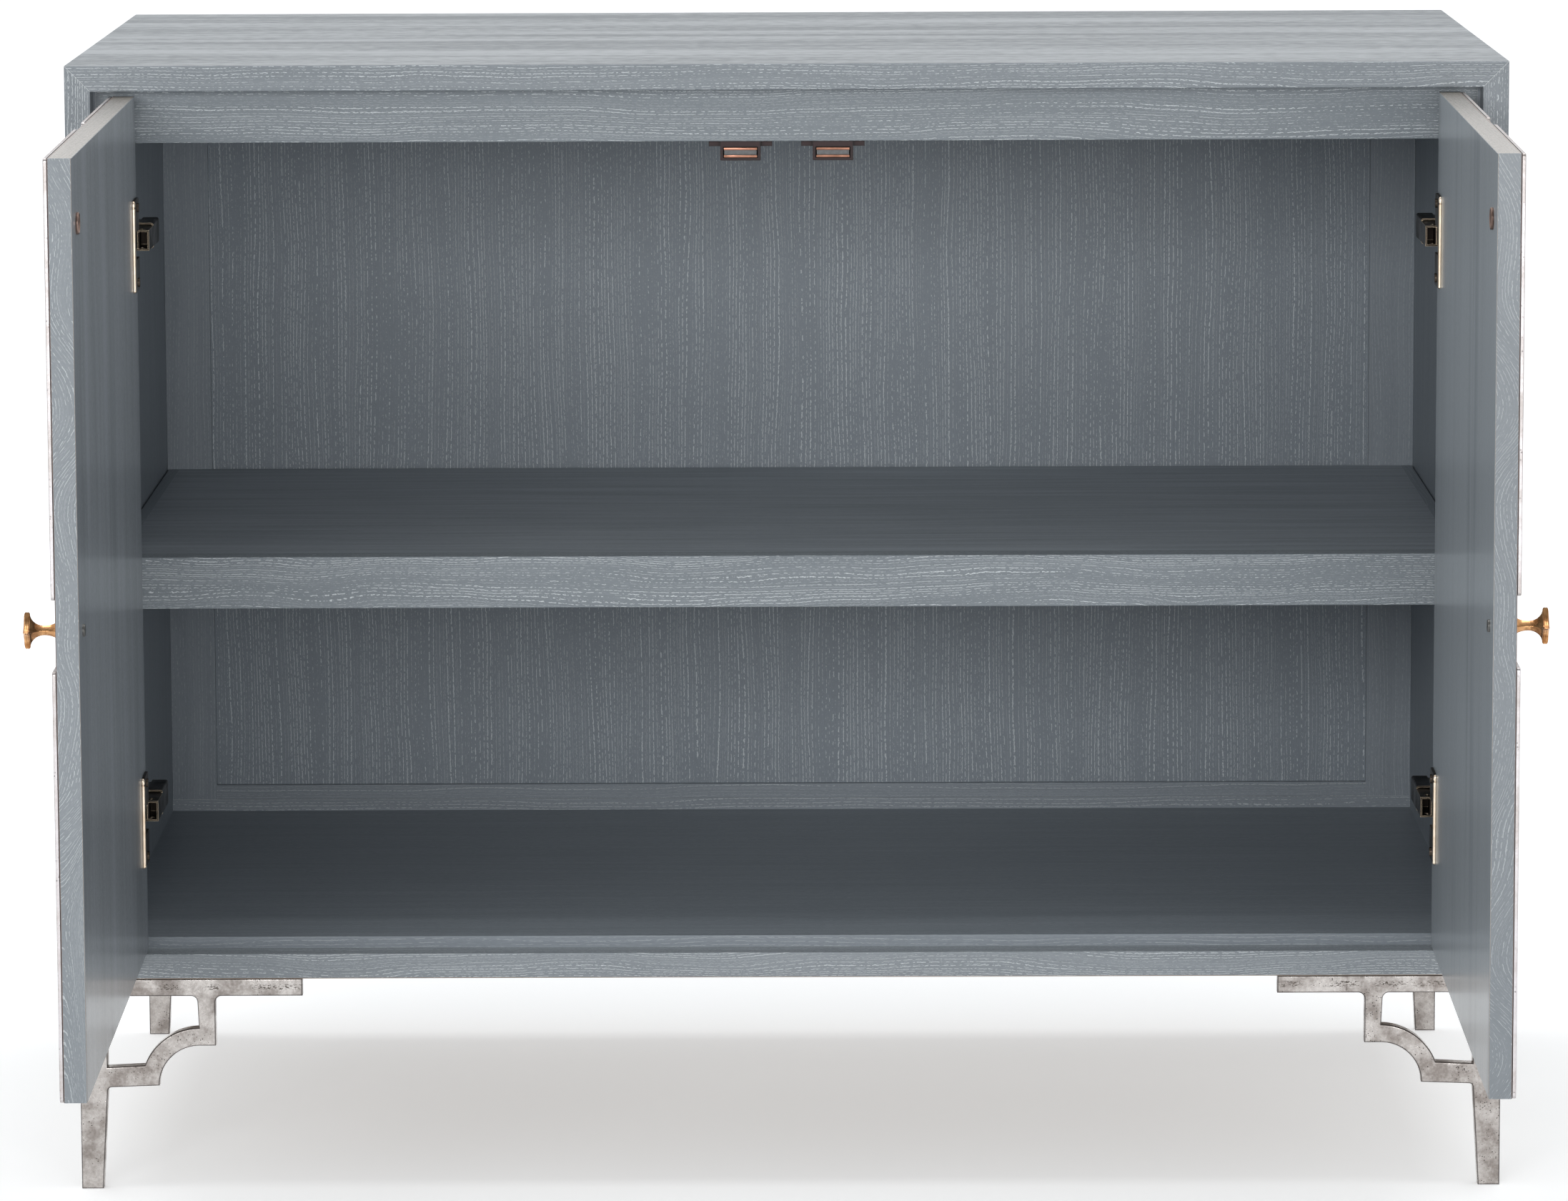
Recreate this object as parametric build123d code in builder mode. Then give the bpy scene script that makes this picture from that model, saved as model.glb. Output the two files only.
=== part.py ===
"""Two-door sideboard on cast bracket legs, with both doors standing open.

Millimetres. The floor is Z = 0, the front looks along -Y, and the origin is under the middle of
the box that holds the open sideboard. Left pieces are modelled and right ones are their mirror.
"""
import os
from math import atan2, cos, degrees, hypot, radians, sin, sqrt, tan

from build123d import *

os.makedirs("parts", exist_ok=True)

# ---- case ----
case_width = 1118.0
case_depth = 578.0
overall_height = 889.0
board_thickness = 20.0
leg_height = 169.0
arris = 0.8                 # rounding of the boards' long edges

# ---- inside the case ----
door_recess = 23.5          # how far the rail, floor and linings stand behind the front
lining_thickness = 2.0
rail_height = 42.0
rail_thickness = 20.0
floor_thickness = 9.0
floor_lipping_width = 22.0
frame_thickness = 12.0
stile_width = 38.5
back_top_rail_height = 42.0
back_bottom_rail_height = 12.5
base_strip_height = 10.0    # what shows of the strip above the floor
panel_thickness = 6.0
panel_lap = 8.0

# ---- shelf ----
shelf_rise = 299.5          # shelf's top above the floor of the case
shelf_thickness = 41.0
shelf_setback = 48.0
shelf_end_gap = 1.5
shelf_back_gap = 0.5
front_lipping_width = 22.0
end_lipping_width = 9.0
pin_diameter = 6.0
pin_inset = 12.0            # into the side board
pin_reach = 11.0            # under the shelf
pin_from_end = 60.0
bore_clearance = 0.05

# ---- doors ----
door_thickness = 17.0
door_side_gap = 2.0
door_meeting_gap = 3.0
door_top_gap = 4.0
door_bottom_gap = 2.0
door_back_gap = 2.0         # from a closed door to the rail behind it
open_angle = 89.2
full_open_angle = 95.0
open_edge_y = 8.0           # hinge edge of the open door, behind the case front
open_face_inset = 33.6      # inner face of the open door, in from the side board
door_arris = 0.8

# ---- metal plates on the door fronts ----
plate_thickness = 2.5
plate_off_wood = 0.3
plate_edge = 0.7            # rounding of the plates' outline
plate_corner = 2.6
band_width = 58.0           # bare upright band between the plates
band_height = 51.0          # bare band at the knob
scoop_radius = 64.0
scoop_step = 16.0

# ---- knob, its screw and the strike discs ----
knob_from_bottom = 336.0
knob_from_edge = 28.5
knob_length = 24.4
knob_rim = 13.3             # to its four corners
knob_rim_thickness = 4.0
knob_groove = 0.5           # round the middle of the rim
knob_foot = 9.5
knob_neck = 3.5
knob_neck_place = 10.6      # out of the wood
knob_rings = 6              # sections of each flare
knob_corners = 4
rim_waist = 0.52            # reach of the middle of a hollow side, as a share of the corners'
neck_waist = 0.82
knob_bore_depth = 9.0
knob_screw_diameter = 4.0
knob_screw_head = 9.0
knob_screw_head_height = 1.8
bore_spare = 1.0            # how much deeper a blind bore is than its screw
strike_diameter = 16.0
strike_thickness = 2.0
strike_below_catch = 2.1    # disc's centre below the middle of the catch's mouth

# ---- hinges ----
upper_hinge_from_top = 114.0
lower_hinge_from_bottom = 108.0
cup_length = 37.0           # along the door from its hinge edge
cup_height = 24.0
cup_depth = 12.5
cup_wall = 1.2
cup_edge_inset = 0.6
flange_height = 71.5
flange_thickness = 2.0
flange_corner = 5.0
mouth_length = 33.5
door_pin_from_edge = 6.5
door_pin_depth = 8.0
arm_pin_y = 28.5            # behind the case front
slot_clearance = 0.75       # round the link's pin in the arm's slots
hinge_pin_diameter = 3.0
link_eye = 3.0
link_thickness = 2.4
link_height = 13.0
link_side_gap = 0.5
running_clearance = 0.06
arm_sheet = 1.2
arm_corner = 1.8
arm_front_y = 62.0          # where the wide channel starts
arm_length = 46.0
arm_height = 20.0
arm_channel_depth = 12.5
arm_web_inset = 41.5        # outer face of the web, in from the side board
neck_height = 16.0
neck_front_gap = 4.3        # in front of the arm pin's centre
base_height = 50.0
base_length = 32.0
base_plate = 2.0
base_corner = 6.0
base_setback = 4.0          # middle of the base behind the middle of the arm
base_post_height = 17.0
post_neck_gap = 0.5
post_back_inset = 1.0
base_screw_spacing = 32.0
flange_screw_spacing = 58.0
small_screw = 3.5
small_head = 7.0
small_head_height = 1.6
small_screw_length = 12.0

# ---- magnetic catches ----
catch_from_middle = 36.0
catch_width = 31.5
catch_height = 15.2
catch_depth = 19.0
ear_span = 49.5
ear_thickness = 4.6
ear_depth = 12.0
catch_mouth_height = 8.6
catch_mouth_width = 27.0
catch_wall = 2.0
pole_thickness = 1.8
pole_width = 26.0
pole_length = 14.0
magnet_setback = 2.5
pole_proud = 1.0            # how far the pole bars stand out of the case
catch_clearance = 0.3
catch_screw_length = 12.0
catch_screw_head = 6.0

# ---- legs ----
leg_overhang = 1.5          # outside the case's side
leg_thickness = 11.0
leg_setback = 1.0
leg_width_top = 22.0
leg_width_foot = 17.2
leg_plate_width = 176.5
leg_plate_height = 14.0
leg_post_left = 93.2
leg_post_taper = 1.2        # how much narrower the post is at its lower end
leg_member = 14.5
leg_post_bottom = 115.0
leg_bar_top = 98.0
leg_bar_bottom = 81.6       # at the upright; the bar rises towards the arc
leg_arc_centre_x = 94.7
leg_arc_radius = 32.0
leg_fillet = 5.0
leg_armpit = 3.0
leg_edge = 1.4
leg_screw_diameter = 4.5
leg_screw_head = 7.5
leg_screw_head_height = 3.0
leg_screw_length = 28.0
leg_screw_places = (52.0, 150.0)
match = 0.01                # how near two lengths count as equal

# ---- worked out from the sizes above ----
half_width = case_width / 2
board_inside = half_width - board_thickness
lining_inside = board_inside - lining_thickness
case_bottom = leg_height
floor_level = case_bottom + board_thickness
case_ceiling = overall_height - board_thickness
door_depth = door_recess - door_back_gap                    # inner face of a closed door
door_width = board_inside - door_side_gap - door_meeting_gap / 2
door_bottom = floor_level + door_bottom_gap
door_top = case_ceiling - door_top_gap
door_height = door_top - door_bottom
upper_hinge_z = door_top - upper_hinge_from_top
lower_hinge_z = door_bottom + lower_hinge_from_bottom
shelf_top = floor_level + floor_thickness + shelf_rise
plate_outside = door_thickness + plate_off_wood + plate_thickness

# The left door in plan, as (x, y) with y behind the case front. The open door's inner face runs
# from its hinge corner towards the front, and leans in by what is left to a right angle.
open_corner = (-board_inside + open_face_inset, open_edge_y)
along = (cos(radians(open_angle)), -sin(radians(open_angle)))
outward = (-sin(radians(open_angle)), -cos(radians(open_angle)))


def on_door(distance, depth):
    """Plan point on the open left door, from its hinge corner along it and out of its inner face."""
    return (open_corner[0] + along[0] * distance + outward[0] * depth,
            open_corner[1] + along[1] * distance + outward[1] * depth)


door_pin = on_door(door_pin_from_edge, door_pin_depth)
closed_pin = (-board_inside + door_side_gap + door_pin_from_edge, door_depth - door_pin_depth)
# The arm's pin is as far from the door pin when the door is open as when it is closed.
middle = ((door_pin[0] + closed_pin[0]) / 2, (door_pin[1] + closed_pin[1]) / 2)
travel = (door_pin[0] - closed_pin[0], door_pin[1] - closed_pin[1])
arm_pin = (middle[0] - travel[1] / travel[0] * (arm_pin_y - middle[1]), arm_pin_y)
link_length = hypot(door_pin[0] - arm_pin[0], door_pin[1] - arm_pin[1])
link_angle_open = degrees(atan2(door_pin[1] - arm_pin[1], door_pin[0] - arm_pin[0]))
link_angle_closed = degrees(atan2(closed_pin[1] - arm_pin[1], closed_pin[0] - arm_pin[0]))
link_swing = link_angle_open - link_angle_closed

# Between its closed and its open place the door turns about one upright axis, just in front of
# its closed face: the point of the plan that both places share.
closed_corner = (-board_inside + door_side_gap, door_depth)
to_open = (open_corner[0] - closed_corner[0], open_corner[1] - closed_corner[1])
spread = 2 * tan(radians(open_angle) / 2)
swing_axis = ((closed_corner[0] + open_corner[0]) / 2 + to_open[1] / spread,
              (closed_corner[1] + open_corner[1]) / 2 - to_open[0] / spread)


def link_end(turn):
    """Plan place of the link's pin in the arm, when the door has turned so far from closed."""
    reach = (closed_pin[0] - swing_axis[0], closed_pin[1] - swing_axis[1])
    angle = radians(turn)
    pin_x = swing_axis[0] + reach[0] * cos(angle) + reach[1] * sin(angle)
    pin_y = swing_axis[1] - reach[0] * sin(angle) + reach[1] * cos(angle)
    lean = radians(link_angle_closed + link_swing * turn / open_angle)
    return (pin_x - link_length * cos(lean), pin_y - link_length * sin(lean))


slot_far = link_end(open_angle / 2)
slot_near = link_end(full_open_angle)

# The open doors reach further forward than the case, and the origin is the middle of both.
door_reach = -min(on_door(door_width, 0)[1], on_door(door_width, plate_outside)[1])
front_y = (door_reach - case_depth) / 2
back_y = front_y + case_depth
frame_y = back_y - frame_thickness
panel_y = back_y - panel_thickness

door_plane = Plane(
    origin=(open_corner[0], front_y + open_corner[1], door_bottom),
    x_dir=(along[0], along[1], 0),
    z_dir=(outward[0], outward[1], 0),
)


def write(name, part):
    """Labels one piece and writes its STEP file."""
    part.label = name
    export_step(part, f"parts/{name}.step")


def write_pair(name, left):
    """Writes a left piece and its mirror image on the right."""
    write(f"left_{name}", left.part)
    with BuildPart() as right:
        mirror(left.part, about=Plane.YZ)
    write(f"right_{name}", right.part)


def block(low, high):
    """A box between two corners, added to the part being built."""
    with Locations([tuple((a + b) / 2 for a, b in zip(low, high))]):
        Box(*(b - a for a, b in zip(low, high)))


# ---- outer boards, mitred at the four corners ----
shelf_pin_y = (front_y + shelf_setback + pin_from_end, frame_y - pin_from_end)
shelf_pin_z = shelf_top - shelf_thickness - pin_diameter / 2
board_corners = (
    (-half_width, overall_height), (half_width, overall_height),
    (board_inside, case_ceiling), (-board_inside, case_ceiling),
)


def mitred_board(corners):
    """A board with mitred ends, from its outline seen from the front."""
    with BuildPart() as board:
        with BuildSketch(Plane.XZ.offset(-back_y)):
            with BuildLine():
                Polyline(*corners, close=True)
            make_face()
        extrude(amount=case_depth)
        outer = board.edges().filter_by(Axis.Y, reverse=True).group_by(Axis.Y)
        fillet([*outer[0].filter_by(lambda edge: edge.length > board_thickness * 2)], arris)
    return board


base_middle_y = front_y + arm_front_y + arm_length / 2 + base_setback
base_screw_spots = [
    (base_middle_y, height + end * base_screw_spacing / 2)
    for height in (upper_hinge_z, lower_hinge_z) for end in (-1, 1)
]
base_screw_inset = small_screw_length - base_plate - lining_thickness


def leg_screw_spots():
    """Plan places of every leg screw."""
    to_middle = leg_setback + leg_thickness / 2
    spots = []
    for side in (-1, 1):
        for y in (front_y + to_middle, back_y - to_middle):
            for place in leg_screw_places:
                spots.append((side * (half_width + leg_overhang - place), y))
    return spots


top_board = mitred_board(board_corners)
write("top_board", top_board.part)

bottom_board = mitred_board([
    (-half_width, case_bottom), (half_width, case_bottom),
    (board_inside, floor_level), (-board_inside, floor_level),
])
with BuildPart() as drilled_bottom:
    add(bottom_board.part)
    with BuildSketch(Plane.XY.offset(case_bottom)):
        with Locations(leg_screw_spots()):
            Circle(leg_screw_diameter / 2 + bore_clearance)
    extrude(amount=leg_screw_length - leg_plate_height + bore_spare, mode=Mode.SUBTRACT)
write("bottom_board", drilled_bottom.part)

side_outline = mitred_board([
    (-half_width, case_bottom), (-board_inside, floor_level),
    (-board_inside, case_ceiling), (-half_width, overall_height),
])
with BuildPart() as side_board:
    add(side_outline.part)
    with BuildSketch(Plane.YZ.offset(-board_inside)):
        with Locations([(y, shelf_pin_z) for y in shelf_pin_y]):
            Circle(pin_diameter / 2 + bore_clearance)
    extrude(amount=-(pin_inset - lining_thickness), mode=Mode.SUBTRACT)
    with BuildSketch(Plane.YZ.offset(-board_inside)):
        with Locations(base_screw_spots):
            Circle(small_screw / 2 + bore_clearance)
    extrude(amount=-base_screw_inset, mode=Mode.SUBTRACT)
write_pair("side_board", side_board)

with BuildPart() as side_lining:
    block((-board_inside, front_y + door_recess, floor_level), (-lining_inside, back_y, case_ceiling))
    with BuildSketch(Plane.YZ.offset(-lining_inside)):
        with Locations([(y, shelf_pin_z) for y in shelf_pin_y]):
            Circle(pin_diameter / 2 + bore_clearance)
        with Locations(base_screw_spots):
            Circle(small_screw / 2 + bore_clearance)
    extrude(amount=-lining_thickness, mode=Mode.SUBTRACT)
write_pair("side_lining", side_lining)

# ---- rail behind the doors, with pilot holes for the catch screws ----
rail_bottom = case_ceiling - rail_height
ear_screw_x = (catch_width + (ear_span - catch_width) / 2) / 2
pole_front_y = front_y + door_depth + strike_thickness + catch_clearance
catch_front_y = pole_front_y + pole_proud
ear_y = catch_front_y + catch_depth - ear_depth / 2
catch_screw_spots = [
    (side * catch_from_middle + end * ear_screw_x, ear_y) for side in (-1, 1) for end in (-1, 1)
]

with BuildPart() as top_rail:
    block((-lining_inside, front_y + door_recess, rail_bottom),
          (lining_inside, front_y + door_recess + rail_thickness, case_ceiling))
    fillet(top_rail.edges().filter_by(Axis.X).sort_by(Axis.Z)[:1], arris)
    with BuildSketch(Plane.XY.offset(rail_bottom)):
        with Locations(catch_screw_spots):
            Circle(small_screw / 2 + bore_clearance)
    extrude(amount=catch_screw_length, mode=Mode.SUBTRACT)
write("top_rail", top_rail.part)

# ---- floor ----
floor_top = floor_level + floor_thickness
floor_joint_y = front_y + door_recess + floor_lipping_width

with BuildPart() as floor_lipping:
    block((-lining_inside, front_y + door_recess, floor_level), (lining_inside, floor_joint_y, floor_top))
    front_arris = floor_lipping.edges().filter_by(Axis.X).group_by(Axis.Y)[0]
    fillet(front_arris.sort_by(Axis.Z)[-1:], arris)
write("floor_lipping", floor_lipping.part)

with BuildPart() as floor_panel:
    block((-lining_inside, floor_joint_y, floor_level), (lining_inside, frame_y, floor_top))
write("floor_panel", floor_panel.part)

# ---- back frame and its panel ----
strip_top = floor_top + base_strip_height
opening_bottom = strip_top + back_bottom_rail_height
opening_top = case_ceiling - back_top_rail_height
stile_inside = lining_inside - stile_width
panel_half = stile_inside + panel_lap


def framed(low, high, cut_low, cut_high):
    """One member of the back frame, rebated at the back for the panel."""
    with BuildPart() as member:
        block(low, high)
        with Locations([tuple((a + b) / 2 for a, b in zip(cut_low, cut_high))]):
            Box(*(b - a for a, b in zip(cut_low, cut_high)), mode=Mode.SUBTRACT)
        front = member.edges().group_by(Axis.Y)[0]
        fillet(front.filter_by(lambda edge: edge.length > stile_width * 2), arris / 2)
    return member


rebate_low = (-panel_half, panel_y, opening_bottom - panel_lap)
rebate_high = (panel_half, back_y, opening_top + panel_lap)

back_stile = framed((-lining_inside, frame_y, strip_top), (-stile_inside, back_y, case_ceiling),
                    rebate_low, rebate_high)
write_pair("back_stile", back_stile)
back_top_rail = framed((-stile_inside, frame_y, opening_top), (stile_inside, back_y, case_ceiling),
                       rebate_low, rebate_high)
write("back_top_rail", back_top_rail.part)
back_bottom_rail = framed((-stile_inside, frame_y, strip_top), (stile_inside, back_y, opening_bottom),
                          rebate_low, rebate_high)
write("back_bottom_rail", back_bottom_rail.part)

with BuildPart() as back_base_strip:
    block((-lining_inside, frame_y, floor_level), (lining_inside, back_y, strip_top))
write("back_base_strip", back_base_strip.part)

with BuildPart() as back_panel:
    block(rebate_low, rebate_high)
write("back_panel", back_panel.part)

# ---- shelf and the pins that it rests on ----
shelf_half = lining_inside - shelf_end_gap
shelf_front_y = front_y + shelf_setback
shelf_joint_y = shelf_front_y + front_lipping_width
shelf_back_y = frame_y - shelf_back_gap
shelf_bottom = shelf_top - shelf_thickness
core_half = shelf_half - end_lipping_width

with BuildPart() as shelf_core:
    block((-core_half, shelf_joint_y, shelf_bottom), (core_half, shelf_back_y, shelf_top))
write("shelf_core", shelf_core.part)

with BuildPart() as shelf_front_lipping:
    block((-shelf_half, shelf_front_y, shelf_bottom), (shelf_half, shelf_joint_y, shelf_top))
    fillet(shelf_front_lipping.edges().filter_by(Axis.X).group_by(Axis.Y)[0], arris)
write("shelf_front_lipping", shelf_front_lipping.part)

with BuildPart() as shelf_end_lippings:
    for side in (-1, 1):
        ends = sorted((side * core_half, side * shelf_half))
        block((ends[0], shelf_joint_y, shelf_bottom), (ends[1], shelf_back_y, shelf_top))
write("shelf_end_lippings", shelf_end_lippings.part)

with BuildPart() as shelf_pins:
    for side in (-1, 1):
        with BuildSketch(Plane.YZ.offset(side * (lining_inside + pin_inset))):
            with Locations([(y, shelf_pin_z) for y in shelf_pin_y]):
                Circle(pin_diameter / 2)
        extrude(amount=-side * (pin_inset + pin_reach))
write("shelf_pins", shelf_pins.part)

# ---- magnetic catches under the rail ----
catch_bottom = rail_bottom - catch_height
mouth_middle_z = catch_bottom + catch_wall + catch_mouth_height / 2
pole_back_y = pole_front_y + pole_length

with BuildPart() as catch_case:
    block((-catch_from_middle - catch_width / 2, catch_front_y, catch_bottom),
          (-catch_from_middle + catch_width / 2, catch_front_y + catch_depth, rail_bottom))
    fillet(catch_case.edges().filter_by(Axis.Y).group_by(Axis.Z)[0], arris)
    block((-catch_from_middle - ear_span / 2, ear_y - ear_depth / 2, rail_bottom - ear_thickness),
          (-catch_from_middle + ear_span / 2, ear_y + ear_depth / 2, rail_bottom))
    with BuildSketch(Plane.XZ.offset(-catch_front_y)):
        with Locations((-catch_from_middle, mouth_middle_z)):
            Rectangle(catch_mouth_width, catch_mouth_height)
    extrude(amount=-(pole_back_y - catch_front_y), mode=Mode.SUBTRACT)
    with BuildSketch(Plane.XY.offset(rail_bottom - ear_thickness)):
        with Locations([spot for spot in catch_screw_spots if spot[0] < 0]):
            Circle(small_screw / 2 + bore_clearance)
    extrude(amount=ear_thickness, mode=Mode.SUBTRACT)
    with BuildSketch(Plane.XY.offset(rail_bottom - ear_thickness)):
        with Locations([spot for spot in catch_screw_spots if spot[0] < 0]):
            Circle(catch_screw_head / 2 + bore_clearance)
    extrude(amount=small_head_height, mode=Mode.SUBTRACT)
write_pair("catch_case", catch_case)

pole_middle = catch_mouth_height / 2 - pole_thickness / 2
magnet_height = catch_mouth_height - 2 * pole_thickness
with BuildPart() as catch_magnet:
    for side in (-1, 1):
        pole_z = mouth_middle_z + side * pole_middle
        with Locations((-catch_from_middle, pole_front_y + pole_length / 2, pole_z)):
            Box(pole_width, pole_length, pole_thickness)
    magnet_length = pole_length - magnet_setback
    with Locations((-catch_from_middle, pole_back_y - magnet_length / 2, mouth_middle_z)):
        Box(pole_width, magnet_length, magnet_height)
write_pair("catch_magnet", catch_magnet)

with BuildPart() as catch_screws:
    with BuildSketch(Plane.XY.offset(rail_bottom - ear_thickness)):
        with Locations(catch_screw_spots):
            Circle(small_screw / 2)
    extrude(amount=catch_screw_length)
    with BuildSketch(Plane.XY.offset(rail_bottom - ear_thickness)):
        with Locations(catch_screw_spots):
            Circle(catch_screw_head / 2)
    extrude(amount=small_head_height)
write("catch_screws", catch_screws.part)

# ---- cast bracket legs ----
leg_outer = half_width + leg_overhang
plate_bottom = leg_height - leg_plate_height
outer_arc = leg_arc_radius + leg_member
arc_x = leg_arc_centre_x - leg_outer
arc_z = leg_post_bottom - leg_arc_radius
bar_inner_top = leg_bar_top + arc_z - leg_bar_bottom
# Where the outer arc meets the top of the low bar and the window side of the post.
arc_at_bar = arc_x - sqrt(outer_arc**2 - (bar_inner_top - arc_z) ** 2)
arc_at_post = arc_z + sqrt(outer_arc**2 - (leg_post_left + leg_post_taper - leg_arc_centre_x) ** 2)


def outer_arc_middle(first, second):
    """A point half way along the outer arc between two of its points."""
    turn = (atan2(first[1] - arc_z, first[0] - arc_x) + atan2(second[1] - arc_z, second[0] - arc_x)) / 2
    return (arc_x + outer_arc * cos(turn), arc_z + outer_arc * sin(turn))


bar_end = arc_x - leg_arc_radius
post_right = leg_post_left + leg_member - leg_outer
window_left = leg_width_top - leg_outer
window_right = leg_post_left - leg_outer
plate_end = leg_plate_width - leg_outer

# One left casting, its front face at Y = 0: a foot, a low bar, a scooped arc, a short post and
# the plate under the case.
with BuildPart() as casting:
    with BuildSketch(Plane.XZ) as casting_outline:
        with BuildLine():
            Polyline((bar_end, arc_z), (window_left, leg_bar_bottom),
                     (leg_width_foot - leg_outer, 0), (-leg_outer, 0), (-leg_outer, leg_height),
                     (plate_end, leg_height), (plate_end, plate_bottom),
                     (post_right, plate_bottom), (post_right, leg_post_bottom),
                     (arc_x, leg_post_bottom))
            RadiusArc((arc_x, leg_post_bottom), (bar_end, arc_z), -leg_arc_radius)
        make_face()
        with BuildLine():
            start = (arc_at_bar, bar_inner_top)
            end = (window_right + leg_post_taper, arc_at_post)
            Polyline(end, (window_right, plate_bottom), (window_left, plate_bottom),
                     (window_left, leg_bar_top), start)
            ThreePointArc(start, outer_arc_middle(start, end), end)
        make_face(mode=Mode.SUBTRACT)
        under_plate = casting_outline.vertices().filter_by(
            lambda corner: abs(corner.Y - plate_bottom) < match
            and window_left + match < corner.X < post_right + match)
        fillet(under_plate, leg_fillet)
        armpit = casting_outline.vertices().filter_by(
            lambda corner: abs(corner.X - window_left) + abs(corner.Y - leg_bar_bottom) < match)
        fillet(armpit, leg_armpit)
    extrude(amount=-leg_thickness)
    fillet(casting.edges().group_by(Axis.Y)[0] + casting.edges().group_by(Axis.Y)[-1], leg_edge)
    with BuildSketch(Plane.XY.offset(plate_bottom)):
        with Locations([(place - leg_outer, leg_thickness / 2) for place in leg_screw_places]):
            Circle(leg_screw_diameter / 2 + bore_clearance)
    extrude(amount=leg_plate_height, mode=Mode.SUBTRACT)
    with BuildSketch(Plane.XY.offset(plate_bottom)):
        with Locations([(place - leg_outer, leg_thickness / 2) for place in leg_screw_places]):
            Circle(leg_screw_head / 2 + bore_clearance)
    extrude(amount=leg_screw_head_height, mode=Mode.SUBTRACT)

for end_name, casting_y in (("front", front_y + leg_setback),
                            ("rear", back_y - leg_setback - leg_thickness)):
    with BuildPart() as leg:
        add(casting.part.moved(Location((0, casting_y, 0))))
    write_pair(f"{end_name}_leg", leg)

with BuildPart() as leg_screws:
    with BuildSketch(Plane.XY.offset(plate_bottom)):
        with Locations(leg_screw_spots()):
            Circle(leg_screw_diameter / 2)
    extrude(amount=leg_screw_length)
    with BuildSketch(Plane.XY.offset(plate_bottom)):
        with Locations(leg_screw_spots()):
            Circle(leg_screw_head / 2)
    extrude(amount=leg_screw_head_height)
    fillet(leg_screws.edges().group_by(Axis.Z)[0], arris)
write("leg_screws", leg_screws.part)

# ---- doors ----
knob_local = (door_width - knob_from_edge, knob_from_bottom)
strike_local = (door_width + door_meeting_gap / 2 - catch_from_middle,
                mouth_middle_z - strike_below_catch - door_bottom)
hinge_heights = {"upper": upper_hinge_z, "lower": lower_hinge_z}
flange_screw_places = [
    (cup_length / 2, height - door_bottom + end * flange_screw_spacing / 2)
    for height in hinge_heights.values() for end in (-1, 1)
]


def from_inner_face(shape):
    """How far an edge or a face lies out of the door's inner face."""
    return (shape.center() - door_plane.origin).dot(door_plane.z_dir)


with BuildPart() as door:
    with BuildSketch(door_plane):
        with Locations((door_width / 2, door_height / 2)):
            Rectangle(door_width, door_height)
    extrude(amount=door_thickness)
    fillet(door.edges().filter_by(lambda edge: edge.length > cup_length), door_arris)
    for height in hinge_heights.values():
        with BuildSketch(door_plane):
            with Locations((cup_length / 2, height - door_bottom)):
                Rectangle(cup_length, cup_height)
        extrude(amount=cup_depth, mode=Mode.SUBTRACT)
    with BuildSketch(door_plane):
        with Locations(flange_screw_places):
            Circle(small_screw / 2 + bore_clearance)
    extrude(amount=small_screw_length, mode=Mode.SUBTRACT)
    with BuildSketch(door_plane):
        with Locations(knob_local):
            Circle(knob_screw_diameter / 2 + bore_clearance)
    extrude(amount=door_thickness, mode=Mode.SUBTRACT)
write_pair("door", door)


def scooped_plate(level, side):
    """Outline of one plate: the corner towards the door's middle is stepped and scooped out."""
    far = door_height if level > 0 else 0.0
    near = knob_local[1] + level * band_height / 2
    inside = door_width / 2 + side * band_width / 2
    outside = door_width if side > 0 else 0.0
    reach = scoop_radius + scoop_step
    scoop_start = (inside + side * reach, near + level * scoop_step)
    scoop_end = (inside + side * scoop_step, near + level * reach)
    straights = [scoop_end, (inside, near + level * reach), (inside, far), (outside, far),
                 (outside, near), (inside + side * reach, near), scoop_start]
    half_way = scoop_step + scoop_radius / sqrt(2)
    scoop_middle = (inside + side * half_way, near + level * half_way)
    return straights, (scoop_start, scoop_middle, scoop_end)


for row, level in (("upper", 1), ("lower", -1)):
    with BuildPart() as plates:
        with BuildSketch(door_plane.offset(door_thickness + plate_off_wood)) as plate_outline:
            smooth = []
            for side in (-1, 1):
                straights, scoop = scooped_plate(level, side)
                smooth += [scoop[0], scoop[-1]]
                with BuildLine():
                    Polyline(*straights)
                    ThreePointArc(*scoop)
                make_face()
            sharp = plate_outline.vertices().filter_by(
                lambda corner: all(hypot(corner.X - x, corner.Y - y) > plate_corner
                                   for x, y in smooth))
            fillet(sharp, plate_corner)
        extrude(amount=plate_thickness)
        fillet(plates.faces().sort_by(from_inner_face)[-2:].edges(), plate_edge)
    write_pair(f"door_{row}_plates", plates)

def flare(start, radius):
    """Sections of a flare from a wide end to the neck, as (distance out of the wood, reach)."""
    turns = [radians(90 * ring / knob_rings) for ring in range(1, knob_rings)]
    return [(start + (knob_neck_place - start) * (1 - cos(turn)), radius - (radius - knob_neck) * sin(turn))
            for turn in turns]


def knob_sections():
    """The knob's sections from the wood out: a foot, a neck, and a flared rim with a groove."""
    rim_start = knob_length - knob_rim_thickness
    middle_of_rim = knob_length - knob_rim_thickness / 2
    inner = knob_rim - knob_groove
    return [
        (0.0, knob_foot), *flare(0.0, knob_foot), (knob_neck_place, knob_neck),
        *reversed(flare(rim_start, knob_rim)),
        (rim_start, inner), (rim_start + knob_groove, knob_rim),
        (middle_of_rim - knob_groove, knob_rim), (middle_of_rim, inner), (middle_of_rim + knob_groove, knob_rim),
        (knob_length - knob_groove, knob_rim), (knob_length, inner),
    ]


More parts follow.
